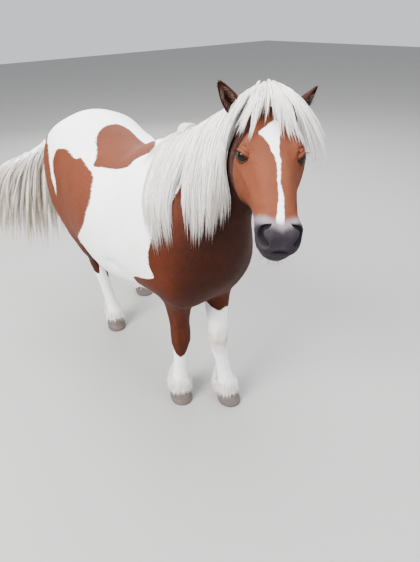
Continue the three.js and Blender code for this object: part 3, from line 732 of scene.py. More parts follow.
@dataclass(frozen=True)
class Swell:
    """A soft rise or hollow on the head, on one side or on both.

    at and size are millimetres along, under and to the left; rise is in
    millimetres, out of the skin unless push gives another way.
    """

    at: Triple
    size: Triple
    rise: float
    paired: bool = True
    push: Triple | None = None

    def move(self, spots: Array, normals: Array, head: HeadFrame) -> Array:
        """How far this form moves each point.

        Args:
            spots: head measures of the points.
            normals: the skin's directions there.
            head: the head's own directions.

        Returns:
            One move a point, in metres.
        """
        total = np.zeros_like(spots)
        for s in (-1, 1) if self.paired else (1,):
            off = (spots - np.array(self.at) * (1, 1, s)) / np.array(self.size)
            strength = self.rise * MM * np.exp(-((off**2).sum(1)))
            ways = normals if self.push is None else head.way(np.array(self.push) * (1, 1, s))
            total += strength[:, None] * ways
        return total


HEAD_FORMS = (
    Swell((134, 6, 60), (28, 9, 14), 3.5),
    Swell((102, 10, 58), (18, 12, 14), -3.5),
    Swell((148, 50, 68), (26, 7, 12), 1.5),
    Swell((190, 50, 58), (46, 8, 12), 3.0),
    Swell((214, 26, 50), (44, 13, 14), -3.5),
    Swell((232, 68, 44), (40, 12, 14), -3.0),
    Swell((104, 96, 76), (46, 44, 26), 3.0),
    Swell((172, 96, 50), (14, 34, 20), -4.5),
    Swell((215, 4, 26), (70, 8, 14), 1.6),
    Swell((318, 26, 38), (20, 22, 14), 4.0),
    Swell((352, 60, 24), (16, 14, 16), 3.0),
    Swell((362, 30, 0), (12, 18, 9), -2.5, paired=False),
    Swell((350, 92, 0), (16, 12, 22), 3.0, paired=False),
    Swell((334, 108, 0), (14, 8, 18), 3.0, paired=False),
)
NOSTRILS = (
    Swell((342, 30, 38), (18, 20, 14), 3.5),
    Swell((352, 27, 20), (9, 14, 6), 2.0),
)
# The nostril's slit: [along, under, out to the side, half width], in millimetres
NOSTRIL_SLIT = (
    (332, 16, 26, 2.6), (330, 21, 33, 4.2), (335, 29, 37, 6.2), (343, 36, 37, 7.4), (351, 39, 33, 6.6),
    (356, 39, 29, 4.6),
)
NOSTRIL_DEPTH = 14.0
# The way out of a nostril, in head directions
NOSTRIL_AXIS = (0.655, -0.19, 0.731)
MOUTH = ((298, 86, 38), (325, 75, 38.5), (347, 64, 34), (362, 55, 22), (370, 51, 8), (371, 50, 0))


@dataclass
class Skin:
    """The whole skin, one closed mesh under the coat."""

    voxel: float = 0.0060
    seal: float = 0.0009
    rounds: int = 130
    slack: float = 0.0028
    flesh: tuple[str, ...] = tuple(
        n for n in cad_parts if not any(w in n for w in ("hoof", "eye", "mane", "lock", "hair", "ear_"))
    )
    edges: Array | None = None
    under_coat: float = 0.0035
    under_face: float = 0.0022
    under_legs: tuple[float, float] = (0.0008, 0.0030)

    def gather(self) -> bpy.types.Object:
        """The solids of flesh, each grown a little so that they meet, as one object."""
        parts = []
        for name in self.flesh:
            bm = bmesh.new()
            bm.from_mesh(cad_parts[name].data)
            bmesh.ops.remove_doubles(bm, verts=bm.verts, dist=1e-6)
            bmesh.ops.triangulate(bm, faces=bm.faces)
            bm.normal_update()
            points = np.array([v.co + v.normal * self.seal for v in bm.verts])
            parts.append((points, np.array([[v.index for v in f.verts] for f in bm.faces])))
            bm.free()
        return mesh_object("skin_form", *joined(parts))

    def remesh(self, form: bpy.types.Object) -> bpy.types.Mesh:
        """One even mesh over the joined solids, finer on the head and finest at eyes and muzzle.

        Args:
            form: the joined solids.

        Returns:
            The mesh.
        """
        mesh = remeshed(form, self.voxel)
        self.refine(mesh, self.face_places)
        self.refine(mesh, self.fine_places)
        return mesh

    @staticmethod
    def face_places(spots: Array) -> Array:
        """Where the head needs a finer mesh than the body."""
        return (spots[:, 0] > 20) & (np.abs(spots[:, 2]) < 110) & (spots[:, 1] < 150)

    @staticmethod
    def fine_places(spots: Array) -> Array:
        """Where the eyes and the muzzle need the finest mesh.

        Args:
            spots: head measures in millimetres.

        Returns:
            True where the mesh is split again.
        """
        centres = [HEAD.measure(eye.centre()[None])[0] for eye in EYES]
        near_eye = [np.linalg.norm(spots - centre, axis=1) < 40 for centre in centres]
        return np.any([spots[:, 0] > 296, *near_eye], axis=0)

    @staticmethod
    def refine(mesh: bpy.types.Mesh, where: Callable[[Array], Array]) -> None:
        """Splits each face whose middle lies where a head test says.

        Args:
            mesh: the mesh to split.
            where: the test, given head measures in millimetres.
        """
        bm = bmesh.new()
        bm.from_mesh(mesh)
        middles = HEAD.measure(np.array([f.calc_center_median() for f in bm.faces]))
        chosen = where(middles)
        edges = {e for f, wanted in zip(bm.faces, chosen) if wanted for e in f.edges}
        bmesh.ops.subdivide_edges(bm, edges=list(edges), cuts=1, use_grid_fill=True)
        bmesh.ops.triangulate(bm, faces=[f for f in bm.faces if len(f.verts) > 4])
        bm.to_mesh(mesh)
        bm.free()

    def even_out(self, mesh: bpy.types.Mesh) -> None:
        """Rounds off the facets without leaving the solids' own shape.

        Args:
            mesh: the mesh to smooth.
        """
        edges = read_edges(mesh)
        points = read_points(mesh)
        form = Surface(points, read_normals(mesh), read_triangles(mesh))
        survey = Survey(points)
        weight = np.full(len(points), 0.45)
        weight[survey.held_by("neck")] = 0.4
        weight[survey.held_by("head")] = 0.16
        weight[survey.held_by("dock")] = 0.05
        legs = survey.held_by(*LEGS)
        weight[legs] = 0.04 + 0.20 * step(points[legs, 2], 0.42, 0.56)
        weight = smoothed(weight[:, None], edges, np.full(len(points), 0.5), 12)[:, 0]
        even = smoothed(points, edges, weight, self.rounds)
        lost = smoothed(points - even, edges, weight, self.rounds)
        even = form.hold(even + lost, self.slack)
        write_points(mesh, smoothed(even, edges, 0.6 * weight, 12))
        self.edges = edges

    def sculpt(self, mesh: bpy.types.Mesh) -> None:
        """Lays in the head's forms, the mouth and the lids, and draws the skin in under the coat.

        Args:
            mesh: the mesh to shape.
        """
        points = read_points(mesh)
        normals = read_normals(mesh)
        survey = Survey(points)
        depth = np.full(len(points), self.under_coat)
        depth[survey.held_by("head")] = self.under_face
        legs = survey.held_by(*LEGS)
        low, high = self.under_legs
        depth[legs] = low + high * step(points[legs, 2], 0.45, 0.60)
        depth *= 1.0 - 0.8 * MARKINGS.muzzle(survey)
        depth = smoothed(depth[:, None], self.edges, np.full(len(points), 0.5), 10)
        points -= normals * depth
        spots = HEAD.measure(points)
        near = spots[:, 0] > 0
        for forms in (HEAD_FORMS, NOSTRILS):
            write_points(mesh, points)
            normals = read_normals(mesh)
            move = sum(form.move(HEAD.measure(points[near]), normals[near], HEAD) for form in forms)
            points[near] += move
        points = self.cut_mouth(points, mesh)
        points = self.open_nostrils(points)
        for eye in EYES:
            points = eye.open_lids(points)
        write_points(mesh, points)

    @staticmethod
    def mouth_gap(points: Array) -> Array:
        """Distance of each point from the line of the mouth, in millimetres.

        Args:
            points: points of the part.

        Returns:
            The distances.
        """
        half = smooth_curve(MOUTH, 6)
        line = HEAD.place(np.vstack([half, half[::-1] * (1, 1, -1)]))
        return np.linalg.norm(points[:, None] - line[None], axis=2).min(1) / MM

    def cut_mouth(self, points: Array, mesh: bpy.types.Mesh) -> Array:
        """Presses the line of the mouth in and rolls the lips beside it.

        Args:
            points: points of the skin.
            mesh: the mesh that they belong to.

        Returns:
            The moved points.
        """
        write_points(mesh, points)
        normals = read_normals(mesh)
        near = np.flatnonzero(HEAD.measure(points)[:, 0] > 280)
        gap = self.mouth_gap(points[near])
        press = -5.0 * np.exp(-((gap / 2.2) ** 2)) + 1.8 * np.exp(-(((gap - 7.0) / 4.0) ** 2))
        points[near] += normals[near] * press[:, None] * MM
        return points

    @staticmethod
    def nostril_gap(points: Array, side: int) -> Array:
        """Distance from one nostril's slit as seen from outside, as a multiple of its half width there.

        Args:
            points: points of the part.
            side: -1 for the right nostril and 1 for the left.

        Returns:
            The distance of each point.
        """
        slit = smooth_curve(NOSTRIL_SLIT, 6)
        spots = HEAD.measure(points) * (1, 1, side)
        away = spots[:, None] - slit[None, :, :3]
        deep = away @ np.array(NOSTRIL_AXIS)
        across = away - deep[:, :, None] * np.array(NOSTRIL_AXIS)
        gap = np.hypot(np.linalg.norm(across, axis=2), 0.15 * deep) / slit[None, :, 3]
        return np.where(np.abs(deep) < 22.0, gap, 9.0).min(1)

    def open_nostrils(self, points: Array) -> Array:
        """Sinks each nostril and raises the rim round it.

        Args:
            points: points of the skin.

        Returns:
            The moved points.
        """
        points = points.copy()
        near = np.flatnonzero(HEAD.measure(points)[:, 0] > 295)
        for side in (-1, 1):
            gap = self.nostril_gap(points[near], side)
            inward = -HEAD.way(np.array(NOSTRIL_AXIS) * (1, 1, side))
            press = NOSTRIL_DEPTH * np.exp(-((gap / 1.05) ** 2)) - 1.6 * np.exp(-(((gap - 2.3) / 0.7) ** 2))
            points[near] += inward * press[:, None] * MM
        return points

    def mark(self, mesh: bpy.types.Mesh) -> None:
        """Stores the markings with their painted shade, the bare places and the bake map.

        Args:
            mesh: the mesh to store them on.
        """
        points = read_points(mesh)
        survey = Survey(points)
        write_value(mesh, "white", MARKINGS.white(survey))
        write_value(mesh, "tone", MARKINGS.tone(survey))
        write_value(mesh, "muzzle", MARKINGS.muzzle(survey))
        # Black of the lids and lips, with painted shade in the nostrils and the mouth's crease.
        write_value(mesh, "dark", self.black_skin_and_shade(points))
        write_value(mesh, "stain", MARKINGS.stain(survey))
        write_value(mesh, "lock", np.full(len(points), 0.5))

    @staticmethod
    def black_skin_and_shade(points: Array) -> Array:
        """Black inside the nostrils, along the mouth and round the eyes: dark skin, with painted shade in
        the nostril hollows and the mouth's crease.

        Args:
            points: points of the part.

        Returns:
            How black each point is painted, from 0 to 1.
        """
        dark = np.zeros(len(points))
        near = np.flatnonzero(HEAD.measure(points)[:, 0] > 295)
        # Painted shade, over dark skin, down each nostril's hollow.
        for side in (-1, 1):
            gap = Skin.nostril_gap(points[near], side)
            dark[near] = np.maximum(dark[near], 1.0 - step(gap, 1.15, 1.75))
        # Dark lips with painted shade in the crease of the mouth.
        dark[near] = np.maximum(dark[near], 0.8 * (1.0 - step(Skin.mouth_gap(points[near]), 3.0, 5.5)))
        for eye in EYES:
            flat = eye.flatten(points)
            ring = eye.ring(flat)
            close = np.linalg.norm(flat, axis=1) < 0.045
            dark = np.maximum(dark, np.where(close, 1.0 - step(ring, 1.06, 1.26), 0.0))
        return dark

    def build(self) -> bpy.types.Object:
        """Makes the finished skin with its ears."""
        mesh = self.remesh(self.gather())
        self.even_out(mesh)
        self.sculpt(mesh)
        piece = bpy.data.objects.new("skin", mesh)
        bpy.context.scene.collection.objects.link(piece)
        for ear in EARS:
            ear.join(piece)
        piece.data.shade_smooth()
        self.mark(piece.data)
        return piece


@dataclass
class Surface:
    """The skin as something that hair can lie on."""

    points: Array
    normals: Array
    faces: Array
    tree: BVHTree = field(init=False)

    @classmethod
    def of(cls, piece: bpy.types.Object) -> Surface:
        """The surface of a finished piece."""
        mesh = piece.data
        return cls(read_points(mesh), read_normals(mesh), read_triangles(mesh))

    def __post_init__(self) -> None:
        """Makes the search tree."""
        self.tree = BVHTree.FromPolygons(self.points.tolist(), self.faces.tolist())

    def lift(self, point: Array, height: float) -> Array:
        """The point, moved out until it stands clear of the skin by a height.

        Args:
            point: a point of the part.
            height: the least height over the skin, in metres.

        Returns:
            The point itself or the moved one.
        """
        near, normal, _, _ = self.tree.find_nearest(Vector(point))
        gap = (Vector(point) - near).dot(normal)
        if gap < height:
            return point + np.array(normal) * (height - gap)
        return point

    def hold(self, points: Array, reach: float) -> Array:
        """The points, drawn back until none is further than a reach from the surface.

        Args:
            points: points of the part.
            reach: the furthest that one may lie from the surface, in metres.

        Returns:
            The points after that.
        """
        near = np.array([self.tree.find_nearest(Vector(p))[0] for p in points])
        gap = np.linalg.norm(points - near, axis=1, keepdims=True)
        return near + (points - near) * np.minimum(1.0, reach / np.maximum(gap, 1e-9))

    def drape(self, start: Array, way: Array, length: float, height: float, sag: float) -> Array:
        """A path of hair that leaves in a direction, sinks and follows the body.

        Args:
            start: where the hair grows.
            way: its first direction.
            length: the hair's length.
            height: how far it stays off the skin.
            sag: how fast it turns downwards.

        Returns:
            The path's points.
        """
        strides = 26
        point, heading = start.copy(), unit(way)
        path = [point.copy()]
        for _ in range(strides):
            heading = unit(heading - np.array([0.0, 0.0, sag]))
            last = point
            point = self.lift(point + heading * length / strides, height)
            heading = unit(point - last)
            path.append(point.copy())
        return np.array(path)


# Eyes and ears


@dataclass(frozen=True)
class Eye:
    """One eyeball, the opening between its lids, their rims and the lashes.

    Lengths are metres. The slit runs down towards the muzzle, and shape bends
    an ellipse into a pointed oval.
    """

    side: Side
    radius: float = 0.019
    half_long: float = 0.0172
    half_open: float = 0.0092
    lid: float = 0.0016
    shape: float = 0.3
    sunk: float = 0.0035

    @property
    def node(self) -> str:
        """Name of the solid that this eyeball stands for."""
        return f"eye_{self.side.name.lower()}"

    def centre(self) -> Array:
        """Middle of the ball: its solid's, a little deeper in the head."""
        p = read_points(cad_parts[self.node].data)
        table = np.hstack([2 * p, np.ones((len(p), 1))])
        middle = np.linalg.lstsq(table, (p**2).sum(1), rcond=None)[0][:3]
        return middle - self.sunk * self.axes()[2]

    def axes(self) -> Array:
        """Rows along the slit to its inner corner, towards the brow, and outwards."""
        out = HEAD.way((0.55, -0.33, 0.77 * self.side.value))
        slit = np.array(HEAD.way((0.88, -0.20, -0.42 * self.side.value)))
        slit = unit(slit - out * (slit @ out))
        brow = np.cross(out, slit)
        if brow @ HEAD.way((0.0, -1.0, 0.0)) < 0:
            brow = -brow
        return np.array([slit, brow, out])

    def flatten(self, points: Array) -> Array:
        """Points measured along the eye's own axes."""
        return (points - self.centre()) @ self.axes().T

    def rim(self, turn: Array) -> Array:
        """The opening's edge as slit and brow measures, for angles round it.

        Args:
            turn: angles round the eye, in radians.

        Returns:
            Two measures for each angle, one row each.
        """
        lift = np.sin(turn)
        return np.stack(
            [self.half_long * np.cos(turn), self.half_open * lift * np.abs(lift) ** self.shape], axis=1
        )

    def ring(self, flat: Array) -> Array:
        """How far out of the opening's middle points are, with 1 at its edge.

        Args:
            flat: points measured across the eye, up it and out of it.

        Returns:
            The distance of each point, as a share.
        """
        turn = np.linspace(-math.pi, math.pi, 721)
        edge = self.rim(turn) / np.array([self.half_long, self.half_open])
        angle = np.arctan2(edge[:, 1], edge[:, 0])
        angle[0], angle[-1] = -math.pi, math.pi
        x, y = flat[:, 0] / self.half_long, flat[:, 1] / self.half_open
        return np.hypot(x, y) / np.interp(np.arctan2(y, x), angle, np.hypot(edge[:, 0], edge[:, 1]))

    def open_lids(self, points: Array) -> Array:
        """Lays lids over the ball and opens them.

        Args:
            points: the skin's vertices.

        Returns:
            The vertices with the lids formed.
        """
        flat = self.flatten(points)
        near = np.flatnonzero((np.linalg.norm(flat, axis=1) < 0.046) & (flat[:, 2] > -0.018))
        f = flat[near]
        g = self.ring(f)
        snap = (g > 0.80) & (g < 1.17)
        f[snap, :2] /= g[snap, None]
        g = np.where(snap, 1.0, g)
        across = (f[:, :2] ** 2).sum(1)
        fold = -0.0012 * np.exp(-(((g - 1.55) / 0.12) ** 2)) * step(f[:, 1], -0.004, 0.004)
        swell = self.lid + 0.0008 * np.exp(-(((g - 1.3) / 0.16) ** 2)) + fold
        cover = np.sqrt(np.maximum((self.radius + swell) ** 2 - across, 0.0))
        blend = 0.0035
        gap = cover - f[:, 2]
        fillet = np.maximum(blend - np.abs(gap), 0.0) ** 2 / (4 * blend)
        over = np.maximum(cover, f[:, 2]) + fillet
        over = np.where(across < (self.radius + 0.003) ** 2, over, f[:, 2])
        f[:, 2] = np.where(snap, cover, over)
        inside = (g < 0.999) & ~snap
        f[inside, 2] = cover[inside] - 0.0065
        out = points.copy()
        out[near] = self.centre() + f @ self.axes()
        return out

    def on_ball(self, turn: Array, scale: float, height: float) -> Array:
        """Points over the ball at a multiple of the opening's edge.

        Args:
            turn: angles round the eye, in radians.
            scale: size of the ring against the opening of the lids.
            height: height over the ball, in metres.

        Returns:
            The places.
        """
        flat = self.rim(turn) * scale
        lift = np.sqrt(np.maximum((self.radius + height) ** 2 - (flat**2).sum(1), 0.0))
        return self.centre() + np.hstack([flat, lift[:, None]]) @ self.axes()

    def build_ball(self) -> bpy.types.Object:
        """The eyeball, with its cornea standing a little proud."""
        rows, columns = 64, 64
        tilt = np.linspace(0.0, math.pi, rows + 1)[:, None]
        turn = np.linspace(0.0, 2 * math.pi, columns, endpoint=False)[None]
        radius = self.radius + 0.0011 * (1 - step(tilt, 0.25, 0.75))
        level = np.cos(tilt) * np.ones_like(turn)
        shell = np.stack([np.sin(tilt) * np.cos(turn), np.sin(tilt) * np.sin(turn), level], axis=2)
        flat = (shell * radius[..., None]).reshape(-1, 3)
        faces = band(np.arange(flat.shape[0]).reshape(rows + 1, columns))
        points = self.centre() + flat @ self.axes()
        piece = welded(mesh_object(f"eyeball_{self.side.name.lower()}", points, faces), 1e-7)
        flat = self.flatten(read_points(piece.data)) / MM
        pupil = np.hypot(flat[:, 0] / 5.6, (flat[:, 1] + 0.6) / 3.1)
        iris = np.hypot(flat[:, 0] / 11.5, flat[:, 1] / 10.0)
        behind = flat[:, 2] < 0
        write_value(piece.data, "pupil", np.where(behind, 9.0, pupil))
        write_value(piece.data, "iris", np.where(behind, 9.0, iris))
        return piece

    def rim_mesh(self) -> tuple[Array, Array]:
        """A rounded bead along the lids' edge, as points and triangles."""
        count, sides = 96, 8
        turn = np.linspace(0.0, 2 * math.pi, count, endpoint=False)
        inner = self.on_ball(turn, 0.985, 0.0003)
        outer = self.on_ball(turn, 1.0, self.lid + 0.0001)
        middle = (inner + outer) / 2
        rise = unit(outer - inner)
        along = unit(np.roll(middle, -1, axis=0) - np.roll(middle, 1, axis=0))
        wide = unit(np.cross(along, rise))
        turn = np.linspace(0.0, 2 * math.pi, sides, endpoint=False)
        ring = middle[:, None] + 0.00125 * (
            np.cos(turn)[None, :, None] * rise[:, None] + 0.8 * np.sin(turn)[None, :, None] * wide[:, None]
        )
        ids = np.arange(count * sides).reshape(count, sides)
        return ring.reshape(-1, 3), band(np.vstack([ids, ids[:1]]))

    def lashes(self, random: np.random.Generator) -> Array:
        """Paths of the lashes, most of them on the upper lid.

        Args:
            random: source of the scatter.

        Returns:
            The paths, each a row of points from root to tip.
        """
        upper, lower = 56, 16
        count = upper + lower
        turns = np.concatenate([random.uniform(0.25, 2.9, upper), random.uniform(3.5, 5.9, lower)])
        root = self.on_ball(turns, 1.02, self.lid)
        _, brow, out = self.axes()
        radial = unit(root - self.centre())
        above = np.sin(turns)[:, None] > 0
        long, short = random.uniform(0.008, 0.014, (count, 1)), random.uniform(0.003, 0.006, (count, 1))
        length = np.where(above, long, short)
        t = np.linspace(0.0, 1.0, 7)[None, :, None]
        way = radial + 0.5 * out + np.where(above, 0.15, -0.4) * brow
        way = unit(way + random.normal(0, 0.12, (count, 3)))
        droop = np.where(above, -0.45, 0.1)[:, :, None] * brow[None, None] + 0.05 * out[None, None]
        return root[:, None] + length[:, :, None] * (t * way[:, None] + t**2 * droop)


EYES = (Eye(Side.RIGHT), Eye(Side.LEFT))


@dataclass(frozen=True)
class Ear:
    """One ear: a leaf rolled into an open cup that stands on the skull.

    root and tip are head measures in millimetres, cup is the way it opens.
    """

    side: Side
    root: Triple
    tip: Triple
    cup: Triple
    half_width: float = 21.0
    wall: float = 3.8
    flattening: float = 0.86
    cup_depth: float = 0.8
    rows: int = 44
    columns: int = 44

    def axes(self) -> Array:
        """Rows across the ear, the way it opens, and up it."""
        up = unit(HEAD.place(self.tip) - HEAD.place(self.root))
        facing = np.array(self.cup)
        facing = unit(facing - up * (facing @ up))
        return np.array([np.cross(up, facing), facing, up])

    def length(self) -> float:
        """From root to tip in millimetres."""
        return float(np.linalg.norm(HEAD.place(self.tip) - HEAD.place(self.root)) / MM)

    def width(self, t: Array) -> Array:
        """Half width of the opening at shares of the way up."""
        return self.half_width * np.maximum(np.sin(math.pi * (0.24 + 0.76 * t) ** 0.8), 0.0) ** 0.8

    def local(self, points: Array) -> Array:
        """Points measured across the ear, the way it opens, and up it, in millimetres."""
        return (points - HEAD.place(self.root)) @ self.axes().T / MM

    def sheet(self, t: Array, c: Array, inner: bool) -> Array:
        """Points of the ear's inner or outer sheet.

        Args:
            t: share of the way up.
            c: place across, from -1 to 1.
            inner: whether the inner sheet is meant.

        Returns:
            The points of the part.
        """
        width = self.width(t) + self.wall / 2
        wrap = 2.5 - t
        angle = c * wrap
        edge = np.sqrt(np.clip(1.0 - np.abs(c) ** 8, 0.0, 1.0))
        reach = width + (0.0 if inner else self.wall * edge)
        depth = reach * (1.0 - np.cos(angle)) * self.cup_depth - (0.0 if inner else self.wall / 2 * edge)
        curl = 3.0 * t * np.sin(math.pi * t)
        flat = np.stack(
            [
                reach * self.flattening * np.sin(angle),
                depth - width * 0.5 + curl,
                t * self.length() - (1 - t) * 8.0,
            ],
            axis=-1,
        )
        return HEAD.place(self.root) + flat * MM @ self.axes()

    def mesh(self) -> tuple[Array, Array]:
        """The closed ear as points and triangles."""
        t, c = np.meshgrid(
            np.linspace(0.0, 1.0, self.rows + 1), np.linspace(-1.0, 1.0, self.columns + 1), indexing="ij"
        )
        sheets = [self.sheet(t, c, inner).reshape(-1, 3) for inner in (False, True)]
        ids = np.arange(t.size).reshape(t.shape)
        both = ids, ids + t.size

        def quads(a: Array, b: Array, c2: Array, d: Array) -> Array:
            """Two triangles a quad."""
            return np.vstack([np.stack(t, -1).reshape(-1, 3) for t in ((a, b, c2), (a, c2, d))])

        o, i = both
        faces = [
            quads(o[:-1, :-1], o[:-1, 1:], o[1:, 1:], o[1:, :-1]),
            quads(i[:-1, :-1], i[1:, :-1], i[1:, 1:], i[:-1, 1:]),
            quads(o[:-1, 0], o[1:, 0], i[1:, 0], i[:-1, 0]),
            quads(o[:-1, -1], i[:-1, -1], i[1:, -1], o[1:, -1]),
            quads(o[0, :-1], i[0, :-1], i[0, 1:], o[0, 1:]),
            quads(o[-1, :-1], o[-1, 1:], i[-1, 1:], i[-1, :-1]),
        ]
        return np.vstack(sheets), np.vstack(faces)

    def join(self, skin: bpy.types.Object) -> None:
        """Unites the ear with the skin.

        Args:
            skin: the finished skin, which takes the ear in.
        """
        piece = welded(mesh_object("ear_form", *self.mesh()), 2e-5)
        modifier = skin.modifiers.new("ear", "BOOLEAN")
        modifier.operation = "UNION"
        modifier.solver = "MANIFOLD"
        modifier.object = piece
        graph = bpy.context.evaluated_depsgraph_get()
        joined = bpy.data.meshes.new_from_object(skin.evaluated_get(graph))
        before = len(skin.data.vertices)
        skin.modifiers.clear()
        if len(joined.vertices) > before:
            skin.data = joined
        else:
            log.warning("ear not joined: %d vertices", len(joined.vertices))
        bpy.data.objects.remove(piece)

    def inside(self, points: Array, normals: Array) -> Array:
        """How deep points lie in the cup, from 0 to 1.

        Args:
            points: points of the part.
            normals: the way the surface faces there.

        Returns:
            The depth at each point.
        """
        flat = self.local(points)
        t = flat[:, 2] / self.length()
        facing = normals @ self.axes()[1]
        near = (np.abs(flat[:, 0]) < 40) & (np.abs(flat[:, 1]) < 45) & (t > 0.02) & (t < 1.05)
        width = self.width(np.clip(t, 0, 1))
        depth = 1.0 - step(flat[:, 1] / np.maximum(width, 4.0), 0.0, 0.9)
        inward = step(-(normals @ self.axes()[0]) * np.sign(flat[:, 0]) + facing, 0.2, 0.7)
        return np.where(near, inward * (0.35 + 0.65 * depth), 0.0)

    def holds(self, points: Array) -> Array:
        """Which points belong to this ear.

        Args:
            points: points of the part.

        Returns:
            True for each point that does.
        """
        flat = self.local(points)
        t = flat[:, 2] / self.length()
        return (np.abs(flat[:, 0]) < 36) & (np.abs(flat[:, 1]) < 45) & (t > 0.12) & (t < 1.1)


EARS = (
    Ear(Side.RIGHT, (5, 20, -72), (-20, -30, -115), (0.6, -0.7, 0.1), 19.0),
    Ear(Side.LEFT, (8, 20, 60), (-20, -26, 108), (0.65, 0.35, 0.1), 19.0),
)


# Coat


@dataclass(frozen=True)
class Coat:
    """Short tufts over one stretch of the body, as one joined mesh.

    count is how many tufts there are, and the lengths are millimetres.
    """

    name: str
    regions: tuple[str, ...]
    span: tuple[float, float]
    count: int
    seed: int

    def lengths(self, survey: Survey, normals: Array) -> Array:
        """Length of the coat at each point, in millimetres.

        Args:
            survey: the points and where they stand on the body.
            normals: the way the surface faces there.

        Returns:
            The length at each point.
        """
        points = survey.points
        spots = HEAD.measure(points)
        out = np.full(len(points), 10.0)
        below = step(-normals[:, 2], 0.2, 0.85)
        trunk = survey.held_by("trunk")
        out = np.where(trunk, 9.0 + 3.0 * below + 1.5 * step(points[:, 0], 0.26, 0.42), out)
        out = np.where(survey.held_by("neck"), 11.0, out)
        throat = step(spots[:, 1], 96.0, 128.0) * (1.0 - step(spots[:, 0], 150.0, 260.0))
        poll = 1 - step(spots[:, 0], 20.0, 90.0)
        face = 4.5 + 3.0 * step(spots[:, 1], 50.0, 100.0) + 7.0 * throat + 3.0 * poll
        out = np.where(survey.held_by("head"), face * (1.0 - 0.6 * MARKINGS.muzzle(survey)), out)
        legs = survey.held_by(*LEGS)
        behind = step(np.abs(survey.angles), 1.9, 2.8)
        low = 6.0 + 3.0 * step(points[:, 2], 0.34, 0.55) + 5.0 * behind * step(-points[:, 2], -0.30, -0.12)
        out = np.where(legs, low, out)
        for ear in EARS:
            out = np.where(ear.holds(points), 6.0, out)
        return np.where(survey.held_by("dock"), 20.0, out)

    def build(self, surface: Surface) -> bpy.types.Object:
        """Grows the tufts on the skin.

        Args:
            surface: the skin.

        Returns:
            The piece.
        """
        random = np.random.default_rng(self.seed)
        corners = surface.points[surface.faces]
        middles = corners.mean(1)
        survey = Survey(middles)
        allowed = survey.held_by(*self.regions)
        allowed &= (survey.shares >= self.span[0]) & (survey.shares < self.span[1])
        edge_a, edge_b = corners[:, 1] - corners[:, 0], corners[:, 2] - corners[:, 0]
        cross = np.cross(edge_a, edge_b)
        area = np.linalg.norm(cross, axis=1) / 2
        face_normal = unit(cross)
        length = self.lengths(survey, face_normal)
        bare = (MARKINGS.muzzle(survey) > 0.97) | (Skin.black_skin_and_shade(middles) > 0.15)
        for eye in EYES:
            flat = eye.flatten(middles)
            bare |= (np.linalg.norm(flat, axis=1) < 0.04) & (eye.ring(flat) < 1.22)
        for ear in EARS:
            bare |= ear.inside(middles, face_normal) > 0.3
        allowed &= ~bare & (middles[:, 2] > 0.050)
        want = np.where(allowed, area / np.maximum(length, 3.0) ** 1.1, 0.0)
        total = np.cumsum(want)
        ticks = random.uniform(0, 1, self.count)
        chosen = np.minimum(np.searchsorted(total, ticks * total[-1]), len(want) - 1)
        u, v = random.uniform(0, 1, (2, self.count))
        flip = u + v > 1
        u, v = np.where(flip, 1 - u, u), np.where(flip, 1 - v, v)
        root = corners[chosen, 0] + u[:, None] * edge_a[chosen] + v[:, None] * edge_b[chosen]
        vertex_normal = surface.normals[surface.faces[chosen]]
        normal = unit(
            vertex_normal[:, 0] * (1 - u - v)[:, None]
            + vertex_normal[:, 1] * u[:, None]
            + vertex_normal[:, 2] * v[:, None]
        )
        return self.grow(root, normal, random)

    def grow(self, root: Array, normal: Array, random: np.random.Generator) -> bpy.types.Object:
        """Makes one closed sliver at each root.

        Args:
            root: points on the skin.
            normal: the skin's directions there.
            random: source of the stray.

        Returns:
            The piece.
        """
        count = len(root)
        survey = Survey(root)
        lie = survey.lie.copy()
        for ear in EARS:
            lie[ear.holds(root)] = ear.axes()[2]
        way = unit(lie - normal * (lie * normal).sum(1, keepdims=True))
        swirl = 0.14 * np.sin(root @ np.array([[23.0, 11.0, 31.0], [-17.0, 29.0, 13.0]]).T).sum(1)
        turn = swirl + random.normal(0, 0.16, count)
        side = np.cross(normal, way)
        way = way * np.cos(turn)[:, None] + side * np.sin(turn)[:, None]
        side = np.cross(normal, way)
        length = self.lengths(survey, normal) * random.uniform(0.65, 1.25, count) * MM
        rise = np.tan(random.uniform(0.04, 0.17, count))
        half = (0.35 + 0.085 * length / MM) * random.uniform(0.7, 1.3, count) * MM
        sink = 0.0003
        tip = root + way * length[:, None] + normal * (rise * length * 0.8 - sink)[:, None]
        lift = rise * length * 0.32 - 0.16 * half - sink
        waist = root + way * (0.40 * length)[:, None] + normal * lift[:, None]
        wide = side * half[:, None]
        verts = np.stack([root - normal * sink, waist + wide, waist - wide, tip], axis=1)
        pattern = np.array([(0, 3, 1), (0, 2, 3), (0, 1, 2), (1, 3, 2)])
        faces = (np.arange(count)[:, None, None] * 4 + pattern[None]).reshape(-1, 3)
        piece = mesh_object(self.name, verts.reshape(-1, 3), faces)
        mesh = piece.data
        for name, values in (
            ("white", MARKINGS.white(survey)),
            ("tone", MARKINGS.tone(survey)),
            ("muzzle", MARKINGS.muzzle(survey)),
            ("dark", np.zeros(count)),
            ("stain", MARKINGS.stain(survey)),
            ("lock", random.uniform(0, 1, count)),
        ):
            write_value(mesh, name, np.repeat(values, 4))
        write_value(mesh, "tip", np.tile([0.0, 0.45, 0.45, 1.0], count))
        spread = np.array([(0.0, -0.5), (-0.5, 0.0), (0.5, 0.0), (0.0, 0.5)]) * PATCH
        places = survey.unwrap()[:, None] + PATCH / 2 + spread[None]
        write_patches(mesh, places.reshape(-1, 2))
        shade = unit(normal + 0.09 * random.normal(0, 1, (count, 3)) + 0.05 * way)
        mesh.normals_split_custom_set_from_vertices(np.repeat(shade, 4, axis=0))
        return piece


